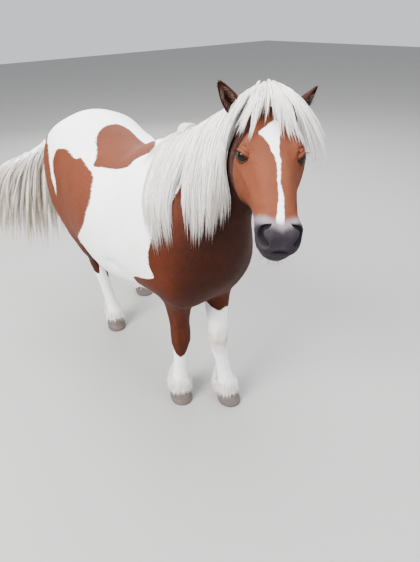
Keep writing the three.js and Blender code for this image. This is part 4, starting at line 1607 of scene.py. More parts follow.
COATS = (
    Coat("coat_rump", ("trunk",), (-1.0, 0.40), 28000, 3),
    Coat("coat_barrel", ("trunk",), (0.40, 0.72), 26000, 5),
    Coat("coat_breast", ("trunk", "neck"), (0.72, 9.0), 21000, 7),
    Coat("coat_neck", ("neck",), (-1.0, 0.72), 12000, 11),
    Coat("coat_head", ("head",), (-1.0, 9.0), 38000, 13),
    Coat("coat_fore_legs", ("fore_right", "fore_left"), (-1.0, 9.0), 28000, 17),
    Coat("coat_hind_legs", ("hind_right", "hind_left", "dock"), (-1.0, 9.0), 30000, 19),
)


# Long hair


@dataclass
class Hair:
    """Long hair as tapering three-sided strands, gathered in locks.

    strands is how many grow in a lock, thickness is a strand's half width and
    spread a lock's at its fullest, in millimetres, and wave is how far a
    strand sways.
    """

    name: str
    surface: Surface
    random: np.random.Generator
    knots: int = 11
    strands: int = 26
    thickness: float = 0.95
    spread: float = 8.0
    wave: float = 2.0
    guides: list[Array] = field(default_factory=list)
    tints: list[float] = field(default_factory=list)

    def add(self, path: Array, tint: float) -> None:
        """Lays one lock along a path.

        Args:
            path: the middle of the lock, from root to tip.
            tint: shade of the lock, from 0 to 1.
        """
        even = resample(path, 24)
        kernel = np.array([1, 2, 3, 2, 1]) / 9.0
        padded = np.vstack([np.repeat(even[:1], 2, 0), even, np.repeat(even[-1:], 2, 0)])
        soft = np.stack([np.convolve(padded[:, k], kernel, "valid") for k in range(3)], axis=1)
        soft[0] = even[0]
        self.guides.append(resample(soft, self.knots))
        self.tints.append(tint)

    def paths(self) -> tuple[Array, Array, Array]:
        """Every strand's path.

        Returns:
            Paths, the tint of each, and the share of its lock's length that it has.
        """
        guides = np.array(self.guides)
        count = len(guides)
        tangent = unit(np.gradient(guides, axis=1))
        nearest = np.array([self.surface.tree.find_nearest(Vector(g[len(g) // 2]))[1] for g in guides])
        across = unit(np.cross(tangent, nearest[:, None] + 1e-4))
        out = np.cross(across, tangent)
        random = self.random
        shape = (count, self.strands, 1)
        t = np.linspace(0.0, 1.0, self.knots)[None, None]
        share = random.uniform(0.72, 1.0, shape)
        along = t * share
        radius = random.uniform(0, 1, shape) ** 0.6 * self.spread * MM
        angle = random.uniform(0, 2 * math.pi, shape)
        belly = 0.55 + 0.75 * np.sin(math.pi * along**0.8) ** 1.2
        close = belly * (1.0 - 0.90 * along**2.2)
        phase = random.uniform(0, 2 * math.pi, (count, 1, 1)) + random.normal(0, 0.5, shape)
        beat = random.uniform(5.0, 9.0, (count, 1, 1))
        sway = self.wave * MM * along * np.sin(phase + beat * along)
        loose = random.uniform(0, 1, shape) > 0.9
        stray = np.where(loose, random.normal(0, 7.0, shape), 0.0) * MM * along**2
        aside = np.cos(angle) * radius * close + sway + stray
        above = (0.5 + 0.5 * np.sin(angle)) * radius * close * 0.9 + 0.4 * sway
        index = along * (self.knots - 1)
        low = np.clip(index.astype(int), 0, self.knots - 2)
        part = (index - low)[..., None]
        rows = np.arange(count)[:, None, None]

        def read(table: Array) -> Array:
            """Values between a guide's knots."""
            return table[rows, low] * (1 - part) + table[rows, low + 1] * part

        path = read(guides) + read(across) * aside[..., None] + read(out) * above[..., None]
        tints = np.repeat(np.array(self.tints), self.strands) + random.normal(0, 0.16, count * self.strands)
        return path.reshape(-1, self.knots, 3), np.clip(tints, 0, 1), along.reshape(-1, self.knots)

    def build(self) -> bpy.types.Object:
        """Makes the strands as one mesh."""
        path, tints, along = self.paths()
        return strand_mesh(self.name, path, tints, along, self.thickness, self.random)


def strand_mesh(
    name: str, path: Array, tints: Array, along: Array, thickness: float, random: np.random.Generator
) -> bpy.types.Object:
    """Closed, tapering, three-sided strands along paths.

    Args:
        name: the piece's name.
        path: the strands' knots, strand by strand.
        tints: how deep each strand's colour is, from 0 to 1.
        along: for each knot, the share of the lock's length reached.
        thickness: half width of a strand in millimetres.
        random: source of the small differences.

    Returns:
        The piece.
    """
    count, knots, _ = path.shape
    tangent = unit(np.gradient(path, axis=1))
    side = unit(np.cross(tangent, np.array([0.31, 0.2, 0.93])))
    other = np.cross(tangent, side)
    t = np.linspace(0.0, 1.0, knots)
    taper = (1.0 - t**2.5) * (0.65 + 0.35 * np.sin(math.pi * np.minimum(t * 1.6, 1.0)))
    radius = thickness * MM * random.uniform(0.7, 1.3, (count, 1)) * taper[None]
    turn = np.array([0.0, 2.094, 4.189])[None, None, :, None]
    around = np.cos(turn) * side[:, :-1, None] + np.sin(turn) * other[:, :-1, None]
    ring = path[:, :-1, None] + radius[:, :-1, None, None] * around
    body = ring.reshape(count, -1, 3)
    verts = np.concatenate([body, path[:, -1:]], axis=1)
    each = verts.shape[1]
    pattern = [(0, 1, 2)]
    for k in range(knots - 2):
        for a in range(3):
            b = (a + 1) % 3
            low, high = 3 * k, 3 * k + 3
            pattern += [(low + a, high + a, high + b), (low + a, high + b, low + b)]
    last = 3 * (knots - 2)
    pattern += [(last + a, each - 1, last + (a + 1) % 3) for a in range(3)]
    faces = (np.arange(count)[:, None, None] * each + np.array(pattern)[None]).reshape(-1, 3)
    piece = mesh_object(name, verts.reshape(-1, 3), faces)
    mesh = piece.data
    write_value(mesh, "lock", np.repeat(tints, each))
    reach = np.concatenate([np.repeat(along[:, :-1], 3, axis=1), along[:, -1:]], axis=1)
    write_value(mesh, "tip", reach.ravel())
    survey = Survey(path[:, 0])
    angles = random.uniform(0, 2 * math.pi, (1, each))
    inner = np.concatenate([np.repeat(t[:-1], 3), t[-1:]])[None]
    patch = np.stack([np.cos(angles) * 0.3 * (1 - inner), inner - 0.5 + 0 * angles], axis=2) * PATCH
    places = survey.unwrap()[:, None] + PATCH / 2 + patch
    write_patches(mesh, places.reshape(-1, 2))
    return piece


CREST = body_points([*head_in_body((-36, -12, 0)), (430, 50, 1052), (335, 14, 992), (236, 0, 930)])
DOCK = body_points(DOCK_SPINE)
TAIL_TIPS = body_points(
    [(-575, -60, 385), (-600, -150, 345), (-630, -250, 325), (-660, -335, 375), (-680, -385, 470)]
)

# The near side of the mane: [share of the crest from the poll, point halfway down, tip], in metres
MANE_FALL = (
    (0.00, (0.466, 0.070, 0.870), (0.462, 0.060, 0.768)),
    (0.16, (0.450, 0.052, 0.861), (0.450, 0.034, 0.745)),
    (0.32, (0.425, 0.034, 0.858), (0.443, 0.004, 0.718)),
    (0.42, (0.397, 0.012, 0.857), (0.428, -0.022, 0.712)),
    (0.50, (0.374, -0.008, 0.854), (0.408, -0.034, 0.745)),
    (0.58, (0.347, -0.029, 0.846), (0.388, -0.062, 0.722)),
    (0.74, (0.322, -0.044, 0.844), (0.368, -0.082, 0.698)),
    (0.90, (0.300, -0.060, 0.840), (0.345, -0.094, 0.702)),
    (1.00, (0.285, -0.073, 0.835), (0.318, -0.095, 0.750)),
)
# Where the mane parts low down, as shares of the crest
MANE_GAP = (0.505, 0.575)
# Where its foremost locks pass the ear and the cheek, in head measures
EAR_PASS = ((4, -32, -42), (28, 8, -74), (56, 62, -91))


# Tips of the forelock's locks, millimetres along, under and left of the poll
BROW_TIPS = (
    (64, 91, -83), (28, 63, -77), (100, 17, -76), (39, 22, -64), (112, 16, -72), (58, 3, -40),
    (134, 9, -57), (84, 1, -33), (62, 2, -48), (128, -1, 14), (136, 2, 31), (138, 5, 44), (143, 9, 54),
    (126, 38, 70), (98, 4, 40), (104, 12, -66), (120, 18, 62),
)
# Single locks that hang alone over the star
LONE_TIPS = ((87, -2, -17), (60, 0, -26), (92, 0, 6), (134, 2, 24))
# Tips of the locks that hang clear beside the left eye
CHEEK_TIPS = (
    (38, 27, 128), (85, 50, 145), (135, 75, 150), (108, 67, 91), (148, 85, 116), (91, 54, 134),
    (120, 62, 104), (64, 36, 138), (140, 98, 136), (118, 84, 124),
)


def on_curve(points: Array, share: float) -> tuple[Array, Array]:
    """A point and the direction there on a smooth curve through points.

    Args:
        points: points that the curve passes through.
        share: shares of the way along it.

    Returns:
        The places on the curve.
    """
    fine = resample(smooth_curve(points, 12), 101)
    place = np.clip(share, 0.0, 1.0) * 100
    low = min(int(place), 99)
    return fine[low] + (fine[low + 1] - fine[low]) * (place - low), unit(fine[low + 1] - fine[low])


@dataclass
class Mane:
    """The mane on both sides of the neck, and the forelock."""

    surface: Surface
    seed: int = 23
    sag: float = 0.20

    def side(self, side: Side, name: str, locks: int, span: tuple[float, float]) -> bpy.types.Object:
        """The locks of one side over a stretch of the crest.

        Args:
            side: which side of the neck they fall over.
            name: the piece's name.
            locks: how many there are.
            span: shares of the crest from the poll, first and last.

        Returns:
            The piece.
        """
        random = np.random.default_rng(self.seed + 7 * side.value + int(10 * span[0]))
        hair = Hair(name, self.surface, random)
        for n in range(locks):
            share = span[0] + (span[1] - span[0]) * (n + random.uniform(0, 1)) / locks
            crest, along = on_curve(CREST, share)
            away = unit(np.cross(along, np.array([0.0, 0.0, float(side.value)])))
            layer = random.uniform(0, 1)
            height = 0.002 + 0.012 * layer
            start = self.surface.lift(crest + away * 0.004 + along * random.normal(0, 0.004), 0.001)
            if side is Side.RIGHT:
                path = self.fall(start, away, share, layer, random)
                path = np.array([self.surface.lift(p, height) for p in path])
            else:
                forward = 0.35 - 0.55 * share + random.normal(0, 0.18)
                heading = away + np.array([0, 0, 0.15]) + along * forward
                length = (0.250 - 0.040 * share) * (1.02 - 0.30 * layer + random.normal(0, 0.03))
                path = self.surface.drape(start, heading, length, height, self.sag)
            hair.add(path, random.uniform(0.15, 0.8))
        return hair.build()

    @staticmethod
    def fall(start: Array, away: Array, share: float, layer: float, random: np.random.Generator) -> Array:
        """One lock's path down the near side.

        Args:
            start: where it leaves the crest.
            away: the way out from the crest there.
            share: its place along the crest, from the poll.
            layer: how far it lies above the lowest locks, from 0 to 1.
            random: source of the stray.

        Returns:
            The path's points.
        """
        rows = [(part, *halfway, *end) for part, halfway, end in MANE_FALL]
        middle, tip = np.array([rows_at(rows, share, n) for n in range(1, 7)]).reshape(2, 3)
        stray = random.normal(0, 0.0035, 3) * (1.0, 1.0, 0.0)
        middle, tip = middle + 0.5 * stray, tip + stray
        reach = 1.12 - 0.45 * layer**1.5 + random.normal(0, 0.07)
        if MANE_GAP[0] < share < MANE_GAP[1]:
            reach = 0.02
        tip = middle + (tip - middle) * reach
        if share < 0.13:
            passing = HEAD.place(np.array(EAR_PASS) + random.normal(0, 3.0, 3) * (1.0, 0.6, 1.0))
            return resample(smooth_curve([start, *passing, middle, tip], 10), 26)
        high = 1.15 - 0.95 * share
        shoulder = start + 0.30 * (middle - start) + high * (away * 0.022 + np.array([0.0, 0.0, 0.026]))
        return resample(smooth_curve([start, shoulder, middle, tip], 10), 26)

    def forelock(self) -> bpy.types.Object:
        """Locks over the brow, and those that hang beside the left eye."""
        random = np.random.default_rng(self.seed)
        hair = Hair("forelock", self.surface, random, strands=24, spread=6.0, thickness=0.72)
        for tips, turns, clear in ((BROW_TIPS, 2, False), (CHEEK_TIPS, 2, True), (LONE_TIPS, 1, False)):
            for tip in tips:
                for _ in range(turns):
                    end = np.array(tip, float) + random.normal(0, 3.5, 3) * (1, 0.5, 1)
                    across = np.clip(end[2] / 90.0 + random.normal(0, 0.15), -1.0, 1.0)
                    start = np.array([-22.0 + random.normal(0, 8), -27 + 8 * across**2, across * 24])
                    if clear:
                        over_brow = (22, -36, 42 + random.normal(0, 4))
                        beside = (0.6 * end[0] + 8, 0.3 * end[1] - 8, 0.74 * end[2])
                        spots = [start, over_brow, beside, end]
                    else:
                        middle = (start + end) / 2 + np.array([0, -19, 0])
                        spots = [start, middle, end]
                    path = resample(smooth_curve(HEAD.place(spots), 10), 24)
                    height = random.uniform(0.003, 0.010)
                    path = np.array([self.surface.lift(p, height) for p in path])
                    hair.add(path, random.uniform(0.1, 0.7))
        return hair.build()

    def poll(self) -> bpy.types.Object:
        """Short locks that cover the parting between the ears and along the crest."""
        random = np.random.default_rng(self.seed + 1)
        hair = Hair("crest_hair", self.surface, random, strands=16, spread=8.0, knots=8)
        for n in range(90):
            share = random.uniform(0.0, 1.0)
            crest, along = on_curve(CREST, share)
            side = 1 if n % 3 == 0 else -1
            away = unit(np.cross(along, np.array([0.0, 0.0, float(side)])))
            start = self.surface.lift(crest + away * random.normal(0, 0.006), -0.001)
            heading = away * 1.2 + np.array([0, 0, 0.45 - 0.5 * share]) + along * random.normal(0.1, 0.3)
            height = 0.005 + 0.018 * (1.0 - share) ** 2
            path = self.surface.drape(start, heading, random.uniform(0.09, 0.17), height, 0.3)
            hair.add(path, random.uniform(0.05, 0.5))
        return hair.build()


@dataclass
class Tail:
    """The tail's hair, from the dock to its fan of tips."""

    surface: Surface
    locks: int = 104
    seed: int = 41

    def build(self) -> bpy.types.Object:
        """Makes the tail's locks."""
        random = np.random.default_rng(self.seed)
        shape = {"knots": 12, "strands": 22, "thickness": 1.1, "spread": 11.0, "wave": 5.0}
        hair = Hair("tail_locks", self.surface, random, **shape)
        for n in range(self.locks):
            share = (n + random.uniform(0, 1)) / self.locks
            dock, onward = on_curve(DOCK, 0.12 + 0.88 * share)
            around = random.uniform(-2.2, 2.2)
            level = unit(np.cross(onward, np.array([0.0, 0.0, 1.0])))
            above = np.cross(level, onward)
            radial = level * math.sin(around) + above * math.cos(around)
            root = dock + radial * (0.020 - 0.008 * share)
            tip, _ = on_curve(TAIL_TIPS, share + random.normal(0, 0.05))
            length = random.uniform(0.86, 1.04)
            tip = root + (tip + random.normal(0, 0.014, 3) - root) * length
            bend = root + onward * (0.050 + 0.050 * share) + radial * 0.016 + np.array([-0.02, 0, -0.03])
            t = np.linspace(0, 1, 20)[:, None]
            path = (1 - t) ** 2 * root + 2 * t * (1 - t) * bend + t**2 * tip
            hair.add(path, random.uniform(0.2, 0.8))
        return hair.build()


PlaceTest = Callable[[Survey, Array], Array]


@dataclass
class SmallHair:
    """Feather at the fetlocks, hair over the hooves, lashes, whiskers and hair in the ears."""

    surface: Surface
    seed: int = 61

    def roots(self, where: PlaceTest, count: int, random: np.random.Generator) -> tuple[Array, Array]:
        """Vertices of the skin to grow from, picked where a test is positive.

        Args:
            where: the test, given the survey and the normals.
            count: how many roots to pick.
            random: source of the scatter.

        Returns:
            Points and normals of the roots.
        """
        survey = Survey(self.surface.points)
        weight = np.maximum(where(survey, self.surface.normals), 0.0)
        picked = random.choice(len(weight), count, p=weight / weight.sum())
        jitter = random.normal(0, 0.0012, (count, 3))
        return self.surface.points[picked] + jitter, self.surface.normals[picked]

    @staticmethod
    def sprays(
        root: Array, way: Array, length: Array, droop: float, knots: int, random: np.random.Generator
    ) -> Array:
        """Curved paths that leave along a direction and droop.

        Args:
            root: where each hair starts.
            way: the way it leaves.
            length: its length, in metres.
            droop: how far it falls, as a share of its length.
            knots: how many points a path has.
            random: source of the scatter.

        Returns:
            The paths, each a row of points.
        """
        t = np.linspace(0, 1, knots)[None, :, None]
        down = np.array([0.0, 0.0, -droop])
        way = unit(way + random.normal(0, 0.10, way.shape))
        return root[:, None] + length[:, None, None] * (t * way[:, None] * (1 - 0.35 * t) + t**2 * down)

    def feather(self) -> bpy.types.Object:
        """Long hair behind the fetlocks and over the crown of the hooves."""
        random = np.random.default_rng(self.seed)

        def behind(survey: Survey, normals: Array) -> Array:
            """Back of the fetlock."""
            high = np.exp(-(((survey.points[:, 2] - 0.105) / 0.024) ** 2))
            return np.where(survey.held_by(*LEGS), high * step(-normals[:, 0], 0.1, 0.8), 0.0)

        def crown(survey: Survey, normals: Array) -> Array:
            """Ring of skin just over the hoof."""
            high = step(survey.points[:, 2], 0.054, 0.062) * (1 - step(survey.points[:, 2], 0.078, 0.104))
            return np.where(survey.held_by(*LEGS), high * (np.abs(normals[:, 2]) < 0.8), 0.0)

        tuft_count, crown_count, knots = 1400, 3600, 6
        root, normal = self.roots(behind, tuft_count, random)
        length = random.uniform(0.030, 0.058, tuft_count)
        back = self.sprays(root, normal * 0.5 + (-0.15, 0, -0.9), length, 0.3, knots, random)
        root, normal = self.roots(crown, crown_count, random)
        length = random.uniform(0.020, 0.032, crown_count)
        over = self.sprays(root, normal * 0.80 + (0, 0, -0.75), length, 0.55, knots, random)
        path = np.vstack([back, over])
        path[..., 2] = np.maximum(path[..., 2], 0.004)
        along = np.tile(np.linspace(0, 0.5, knots), (len(path), 1))
        tints = random.uniform(0.1, 0.6, len(path))
        return strand_mesh("feather", path, tints, along, 0.85, random)

    def ear_hair(self) -> bpy.types.Object:
        """Soft hair that crosses the opening of each ear."""
        random = np.random.default_rng(self.seed + 1)
        paths = []
        for ear in EARS:
            count = 260
            t = random.uniform(0.05, 0.72, count)
            edge = np.where(random.uniform(0, 1, count) > 0.5, 1.0, -1.0)
            c = edge * random.uniform(0.62, 0.97, count)
            root = ear.sheet(t, c, True)
            across, facing, up = ear.axes()
            way = -edge[:, None] * across * 0.8 + facing * 0.35 + up * 0.75
            way = unit(way + random.normal(0, 0.15, way.shape))
            length = random.uniform(0.010, 0.024, count)
            s = np.linspace(0, 1, 7)[None, :, None]
            paths.append(root[:, None] + length[:, None, None] * (s * way[:, None] + s**2 * 0.3 * up))
        path = np.vstack(paths)
        along = np.tile(np.linspace(0, 1, 7), (len(path), 1))
        return strand_mesh("ear_hair", path, random.uniform(0.5, 1.0, len(path)), along, 0.28, random)

    def whiskers(self) -> bpy.types.Object:
        """Fine whiskers on the muzzle and chin, and the lashes."""
        random = np.random.default_rng(self.seed + 2)

        def beard(survey: Survey, normals: Array) -> Array:
            """Lips and chin."""
            spots = HEAD.measure(survey.points)
            low = step(spots[:, 1], 62.0, 92.0) * step(spots[:, 0], 292.0, 330.0)
            return np.where(survey.held_by("head"), low + 0.15 * step(spots[:, 0], 320.0, 350.0), 0.0)

        root, normal = self.roots(beard, 90, random)
        path = self.sprays(root, normal, random.uniform(0.008, 0.028, 90), 0.25, 7, random)
        path = np.vstack([path] + [eye.lashes(random) for eye in EYES])
        along = np.tile(np.linspace(0, 1, 7), (len(path), 1))
        tints = random.uniform(0.4, 1.0, len(path))
        return strand_mesh("lashes_and_whiskers", path, tints, along, 0.16, random)


# Hooves


Socket = bpy.types.NodeSocket


@dataclass(frozen=True)
class Hooves:
    """The four hooves, rounded from their solids, with flat soles."""

    names: tuple[str, ...] = ("fore_right_hoof", "fore_left_hoof", "hind_right_hoof", "hind_left_hoof")
    voxel: float = 0.0021
    rounds: int = 26

    def build(self) -> bpy.types.Object:
        """Makes the hooves as one piece."""
        parts = []
        for name in self.names:
            source = bpy.data.objects.new("hoof_form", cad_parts[name].data.copy())
            bpy.context.scene.collection.objects.link(source)
            mesh = remeshed(source, self.voxel)
            p = read_points(mesh)
            sole = p[:, 2] < 0.0025
            even = smoothed(p, read_edges(mesh), np.full(len(p), 0.5), self.rounds)
            even[:, 2] = np.where(sole, np.minimum(even[:, 2], 0.002), even[:, 2])
            even[:, 2] = np.maximum(even[:, 2] - even[sole, 2].min() * (even[:, 2] < 0.02), 0.0)
            centre = even.mean(0)
            off = even[:, :2] - centre[:2]
            slant = 0.8 * np.arctan2(off[:, 1], off[:, 0])
            growth = 0.0005 * np.sin(even[:, 2] / 0.0062 * 2 * math.pi + slant)
            side = (even[:, 2] > 0.006) & (even[:, 2] < 0.047)
            even[:, :2] += unit(off) * np.where(side, growth, 0.0)[:, None]
            parts.append((even, read_triangles(mesh)))
        return mesh_object("hooves", *joined(parts))


# Finishes


def linear(r: float, g: float, b: float) -> tuple[float, float, float, float]:
    """A display colour, given in 0 to 255, as the renderer takes it.

    Args:
        r: red, from 0 to 255.
        g: green.
        b: blue.

    Returns:
        The colour as the shaders take it, with an alpha of 1.
    """
    values = [v / 255.0 for v in (r, g, b)]
    out = [v / 12.92 if v <= 0.04045 else ((v + 0.055) / 1.055) ** 2.4 for v in values]
    return out[0], out[1], out[2], 1.0


class Wiring:
    """Adds and links nodes in one tree."""

    def __init__(self, tree: bpy.types.NodeTree) -> None:
        """Starts on a tree."""
        self.tree = tree

    def node(self, kind: str, **settings: object) -> bpy.types.Node:
        """A new node with properties set.

        Args:
            kind: type of the node.
            settings: its properties by name.

        Returns:
            The node.
        """
        made = self.tree.nodes.new(kind)
        for key, value in settings.items():
            setattr(made, key, value)
        return made

    def link(self, source: Socket, target: Socket) -> None:
        """Joins an output to an input."""
        self.tree.links.new(source, target)

    def value(self, name: str) -> Socket:
        """A number that the mesh stores under a name."""
        return self.node("ShaderNodeAttribute", attribute_name=name).outputs["Fac"]

    def ramp(self, source: Socket, low: float, high: float, smooth: bool = True) -> Socket:
        """The source spread from 0 at low to 1 at high.

        Args:
            source: the value to spread.
            low: where the result is 0.
            high: where it is 1.
            smooth: whether the ends are eased.

        Returns:
            The result.
        """
        made = self.node("ShaderNodeMapRange", interpolation_type="SMOOTHSTEP" if smooth else "LINEAR")
        self.link(source, made.inputs["Value"])
        made.inputs["From Min"].default_value = low
        made.inputs["From Max"].default_value = high
        return made.outputs["Result"]

    def math(self, operation: str, a: Socket, b: Socket | float) -> Socket:
        """One sum of two values.

        Args:
            operation: name of the sum.
            a: the first value.
            b: the second, a socket or a number.

        Returns:
            The result.
        """
        made = self.node("ShaderNodeMath", operation=operation)
        self.link(a, made.inputs[0])
        if isinstance(b, (int, float)):
            made.inputs[1].default_value = b
        else:
            self.link(b, made.inputs[1])
        return made.outputs[0]

    def around_zero(self, source: Socket, spread: float) -> Socket:
        """A value that runs from 0 to 1, turned into one with a given spread about 0."""
        return self.math("MULTIPLY", self.math("SUBTRACT", source, 0.5), spread)

    def mix(self, share: Socket, a: object, b: object) -> Socket:
        """Two colours mixed.

        Args:
            share: share of the second colour.
            a: the first colour, a socket or a value.
            b: the second colour.

        Returns:
            The mixed colour.
        """
        made = self.node("ShaderNodeMix", data_type="RGBA")
        self.link(share, made.inputs["Factor"])
        for socket, value in ((made.inputs[6], a), (made.inputs[7], b)):
            if isinstance(value, tuple):
                socket.default_value = value
            else:
                self.link(value, socket)
        return made.outputs[2]

    def noise(self, scale: float, detail: float, stretch: Triple = (1.0, 1.0, 1.0)) -> Socket:
        """Noise in the part's own coordinates.

        Args:
            scale: how fine it is.
            detail: how many finer layers it has.
            stretch: scale along each axis.

        Returns:
            The noise, from 0 to 1.
        """
        place = self.node("ShaderNodeTexCoord").outputs["Object"]
        mapping = self.node("ShaderNodeMapping")
        mapping.inputs["Scale"].default_value = stretch
        self.link(place, mapping.inputs["Vector"])
        made = self.node("ShaderNodeTexNoise")
        made.inputs["Scale"].default_value = scale
        made.inputs["Detail"].default_value = detail
        self.link(mapping.outputs[0], made.inputs["Vector"])
        return made.outputs["Fac"]


Group = tuple[bpy.types.NodeTree, Wiring, bpy.types.Node]


def group(name: str, outputs: Sequence[tuple[str, str]]) -> Group:
    """An empty node group with its outputs declared.

    Args:
        name: name of the group.
        outputs: label and socket type of each output.

    Returns:
        The tree, its wiring and its output node.
    """
    tree = bpy.data.node_groups.new(name, "ShaderNodeTree")
    for label, kind in outputs:
        tree.interface.new_socket(name=label, in_out="OUTPUT", socket_type=kind)
    wiring = Wiring(tree)
    return tree, wiring, wiring.node("NodeGroupOutput")


@dataclass(frozen=True)
class CoatPalette:
    """Colours of the short coat and the bare skin, two of which also paint shade."""

    chestnut_pale: tuple = linear(98, 51, 31)
    chestnut_mid: tuple = linear(70, 28, 10)
    # Deep red-brown, which also paints shade on the breast, low on the hindquarters and under the jaw.
    chestnut_deep_and_shade: tuple = linear(31, 8, 3)
    white: tuple = linear(246, 246, 247)
    white_shade: tuple = linear(234, 232, 230)
    dust: tuple = linear(150, 138, 112)
    lilac: tuple = linear(112, 102, 108)
    slate: tuple = linear(36, 31, 37)
    # Black skin, which also paints shade in the nostrils and along the mouth.
    black: tuple = linear(14, 10, 12)

    def effect(self) -> bpy.types.NodeTree:
        """Node group that turns the stored markings, painted shade among them, into a colour and a bump."""
        tree, w, out = group("coat colour", (("Color", "NodeSocketColor"), ("Height", "NodeSocketFloat")))
        tone = w.value("tone")
        lock = w.value("lock")
        broad = w.noise(9.0, 2.0)
        fine = w.noise(420.0, 2.0, (1.0, 1.0, 0.35))
        varied = w.math("ADD", tone, w.around_zero(broad, 0.35))
        varied = w.math("ADD", varied, w.around_zero(lock, 0.16))
        # The deep end carries the painted shade of the breast, the low hindquarters and the jaw.
        low = w.mix(w.ramp(varied, 0.0, 0.5, False), self.chestnut_deep_and_shade, self.chestnut_mid)
        brown = w.mix(w.ramp(varied, 0.5, 1.0, False), low, self.chestnut_pale)
        mottled = w.math("ADD", w.math("MULTIPLY", lock, 0.55), w.math("MULTIPLY", broad, 0.6))
        shade = w.ramp(mottled, 0.25, 0.9)
        pale = w.mix(shade, self.white_shade, self.white)
        pale = w.mix(w.value("stain"), pale, self.dust)
        edge = w.math("ADD", w.value("white"), w.around_zero(w.noise(70.0, 2.0), 0.006))
        coat = w.mix(w.ramp(edge, -0.0012, 0.0016), brown, pale)
        bare = w.value("muzzle")
        mottle = w.around_zero(w.noise(60.0, 3.0), 0.25)
        coat = w.mix(w.ramp(w.math("ADD", bare, mottle), 0.05, 0.50), coat, self.lilac)
        coat = w.mix(w.ramp(w.math("ADD", bare, mottle), 0.45, 0.95), coat, self.slate)
        # Black lids and lips, and painted shade in the nostrils and the mouth's crease.
        colour = w.mix(w.value("dark"), coat, self.black)
        w.link(colour, out.inputs["Color"])
        w.link(fine, out.inputs["Height"])
        return tree


@dataclass(frozen=True)
class HairPalette:
    """Colours of one kind of long hair, from root to tip."""

    name: str
    root: tuple
    pale: tuple
    deep: tuple
    tip: tuple
    tip_from: float = 0.6

    def effect(self) -> bpy.types.NodeTree:
        """Node group that colours strands by lock and by length."""
        tree, w, out = group(f"{self.name} colour", (("Color", "NodeSocketColor"),))
        lock = w.value("lock")
        streak = w.ramp(w.math("ADD", lock, w.around_zero(w.noise(26.0, 2.0), 0.7)), 0.15, 0.95)
        colour = w.mix(streak, self.pale, self.deep)
        colour = w.mix(w.ramp(w.value("tip"), 0.0, 0.22), self.root, colour)
        colour = w.mix(w.ramp(w.value("tip"), self.tip_from, 1.0), colour, self.tip)
        w.link(colour, out.inputs["Color"])
        return tree


MANE_COLOURS = HairPalette(
    "mane", linear(232, 228, 224), linear(244, 242, 240), linear(220, 212, 204), linear(232, 226, 220)
)
TAIL_COLOURS = HairPalette(
    "tail", linear(240, 238, 238), linear(236, 232, 226), linear(204, 194, 178), linear(158, 142, 110), 0.35
)
DOWN_COLOURS = HairPalette(
    "down", linear(120, 96, 84), linear(168, 146, 132), linear(66, 44, 36), linear(70, 50, 42)
)
LASH_COLOURS = HairPalette(
    "lash", linear(30, 20, 18), linear(44, 32, 28), linear(22, 15, 13), linear(40, 30, 27)
)


@dataclass(frozen=True)
class Finish:
    """One material over a shared colour effect."""

    name: str
    roughness: float
    specular: float = 0.3
    bump: float = 0.0
    sheen: float = 0.0

    def make(self, effect: bpy.types.NodeTree) -> bpy.types.Material:
        """The material, coloured by an effect.

        Args:
            effect: the node group that gives the colour and the bumps.

        Returns:
            The material.
        """
        material = bpy.data.materials.new(self.name)
        material.use_nodes = True
        tree = material.node_tree
        tree.nodes.clear()
        w = Wiring(tree)
        shader = w.node("ShaderNodeBsdfPrincipled")
        shader.inputs["Roughness"].default_value = self.roughness
        shader.inputs["Specular IOR Level"].default_value = self.specular
        shader.inputs["Sheen Weight"].default_value = self.sheen
        colour = w.node("ShaderNodeGroup", node_tree=effect)
        w.link(colour.outputs["Color"], shader.inputs["Base Color"])
        if self.bump:
            bump = w.node("ShaderNodeBump")
            bump.inputs["Strength"].default_value = self.bump
            bump.inputs["Distance"].default_value = 0.002
            w.link(colour.outputs["Height"], bump.inputs["Height"])
            w.link(bump.outputs["Normal"], shader.inputs["Normal"])
        output = w.node("ShaderNodeOutputMaterial")
        w.link(shader.outputs["BSDF"], output.inputs["Surface"])
        return material


def horn_effect() -> bpy.types.NodeTree:
    """Node group for hoof horn: grey-brown with rings and stains."""
    tree, w, out = group("horn colour", (("Color", "NodeSocketColor"), ("Height", "NodeSocketFloat")))
    rings = w.noise(60.0, 3.0, (0.25, 0.25, 3.0))
    stains = w.noise(30.0, 3.0)
    colour = w.mix(w.ramp(rings, 0.35, 0.65), linear(78, 69, 66), linear(98, 87, 82))
    colour = w.mix(w.ramp(stains, 0.5, 0.8), colour, linear(86, 72, 60))
    w.link(colour, out.inputs["Color"])
    w.link(rings, out.inputs["Height"])
    return tree


def eye_effect() -> bpy.types.NodeTree:
    """Node group for the eyeball: dark brown with a level black pupil."""
    tree, w, out = group("eye colour", (("Color", "NodeSocketColor"),))
    fleck = w.ramp(w.noise(900.0, 2.0), 0.3, 0.7)
    iris = w.mix(fleck, linear(14, 8, 6), linear(24, 14, 9))
    iris = w.mix(w.ramp(w.value("pupil"), 0.88, 1.05), linear(5, 5, 8), iris)
    colour = w.mix(w.ramp(w.value("iris"), 0.98, 1.12), iris, linear(24, 16, 13))
    w.link(colour, out.inputs["Color"])
    return tree


def lid_effect() -> bpy.types.NodeTree:
    """Node group for the wet dark edge of the lids."""
    tree, w, out = group("lid colour", (("Color", "NodeSocketColor"),))
    colour = w.mix(w.ramp(w.noise(300.0, 2.0), 0.3, 0.7), linear(18, 12, 11), linear(32, 24, 23))
    w.link(colour, out.inputs["Color"])
    return tree


# Studio


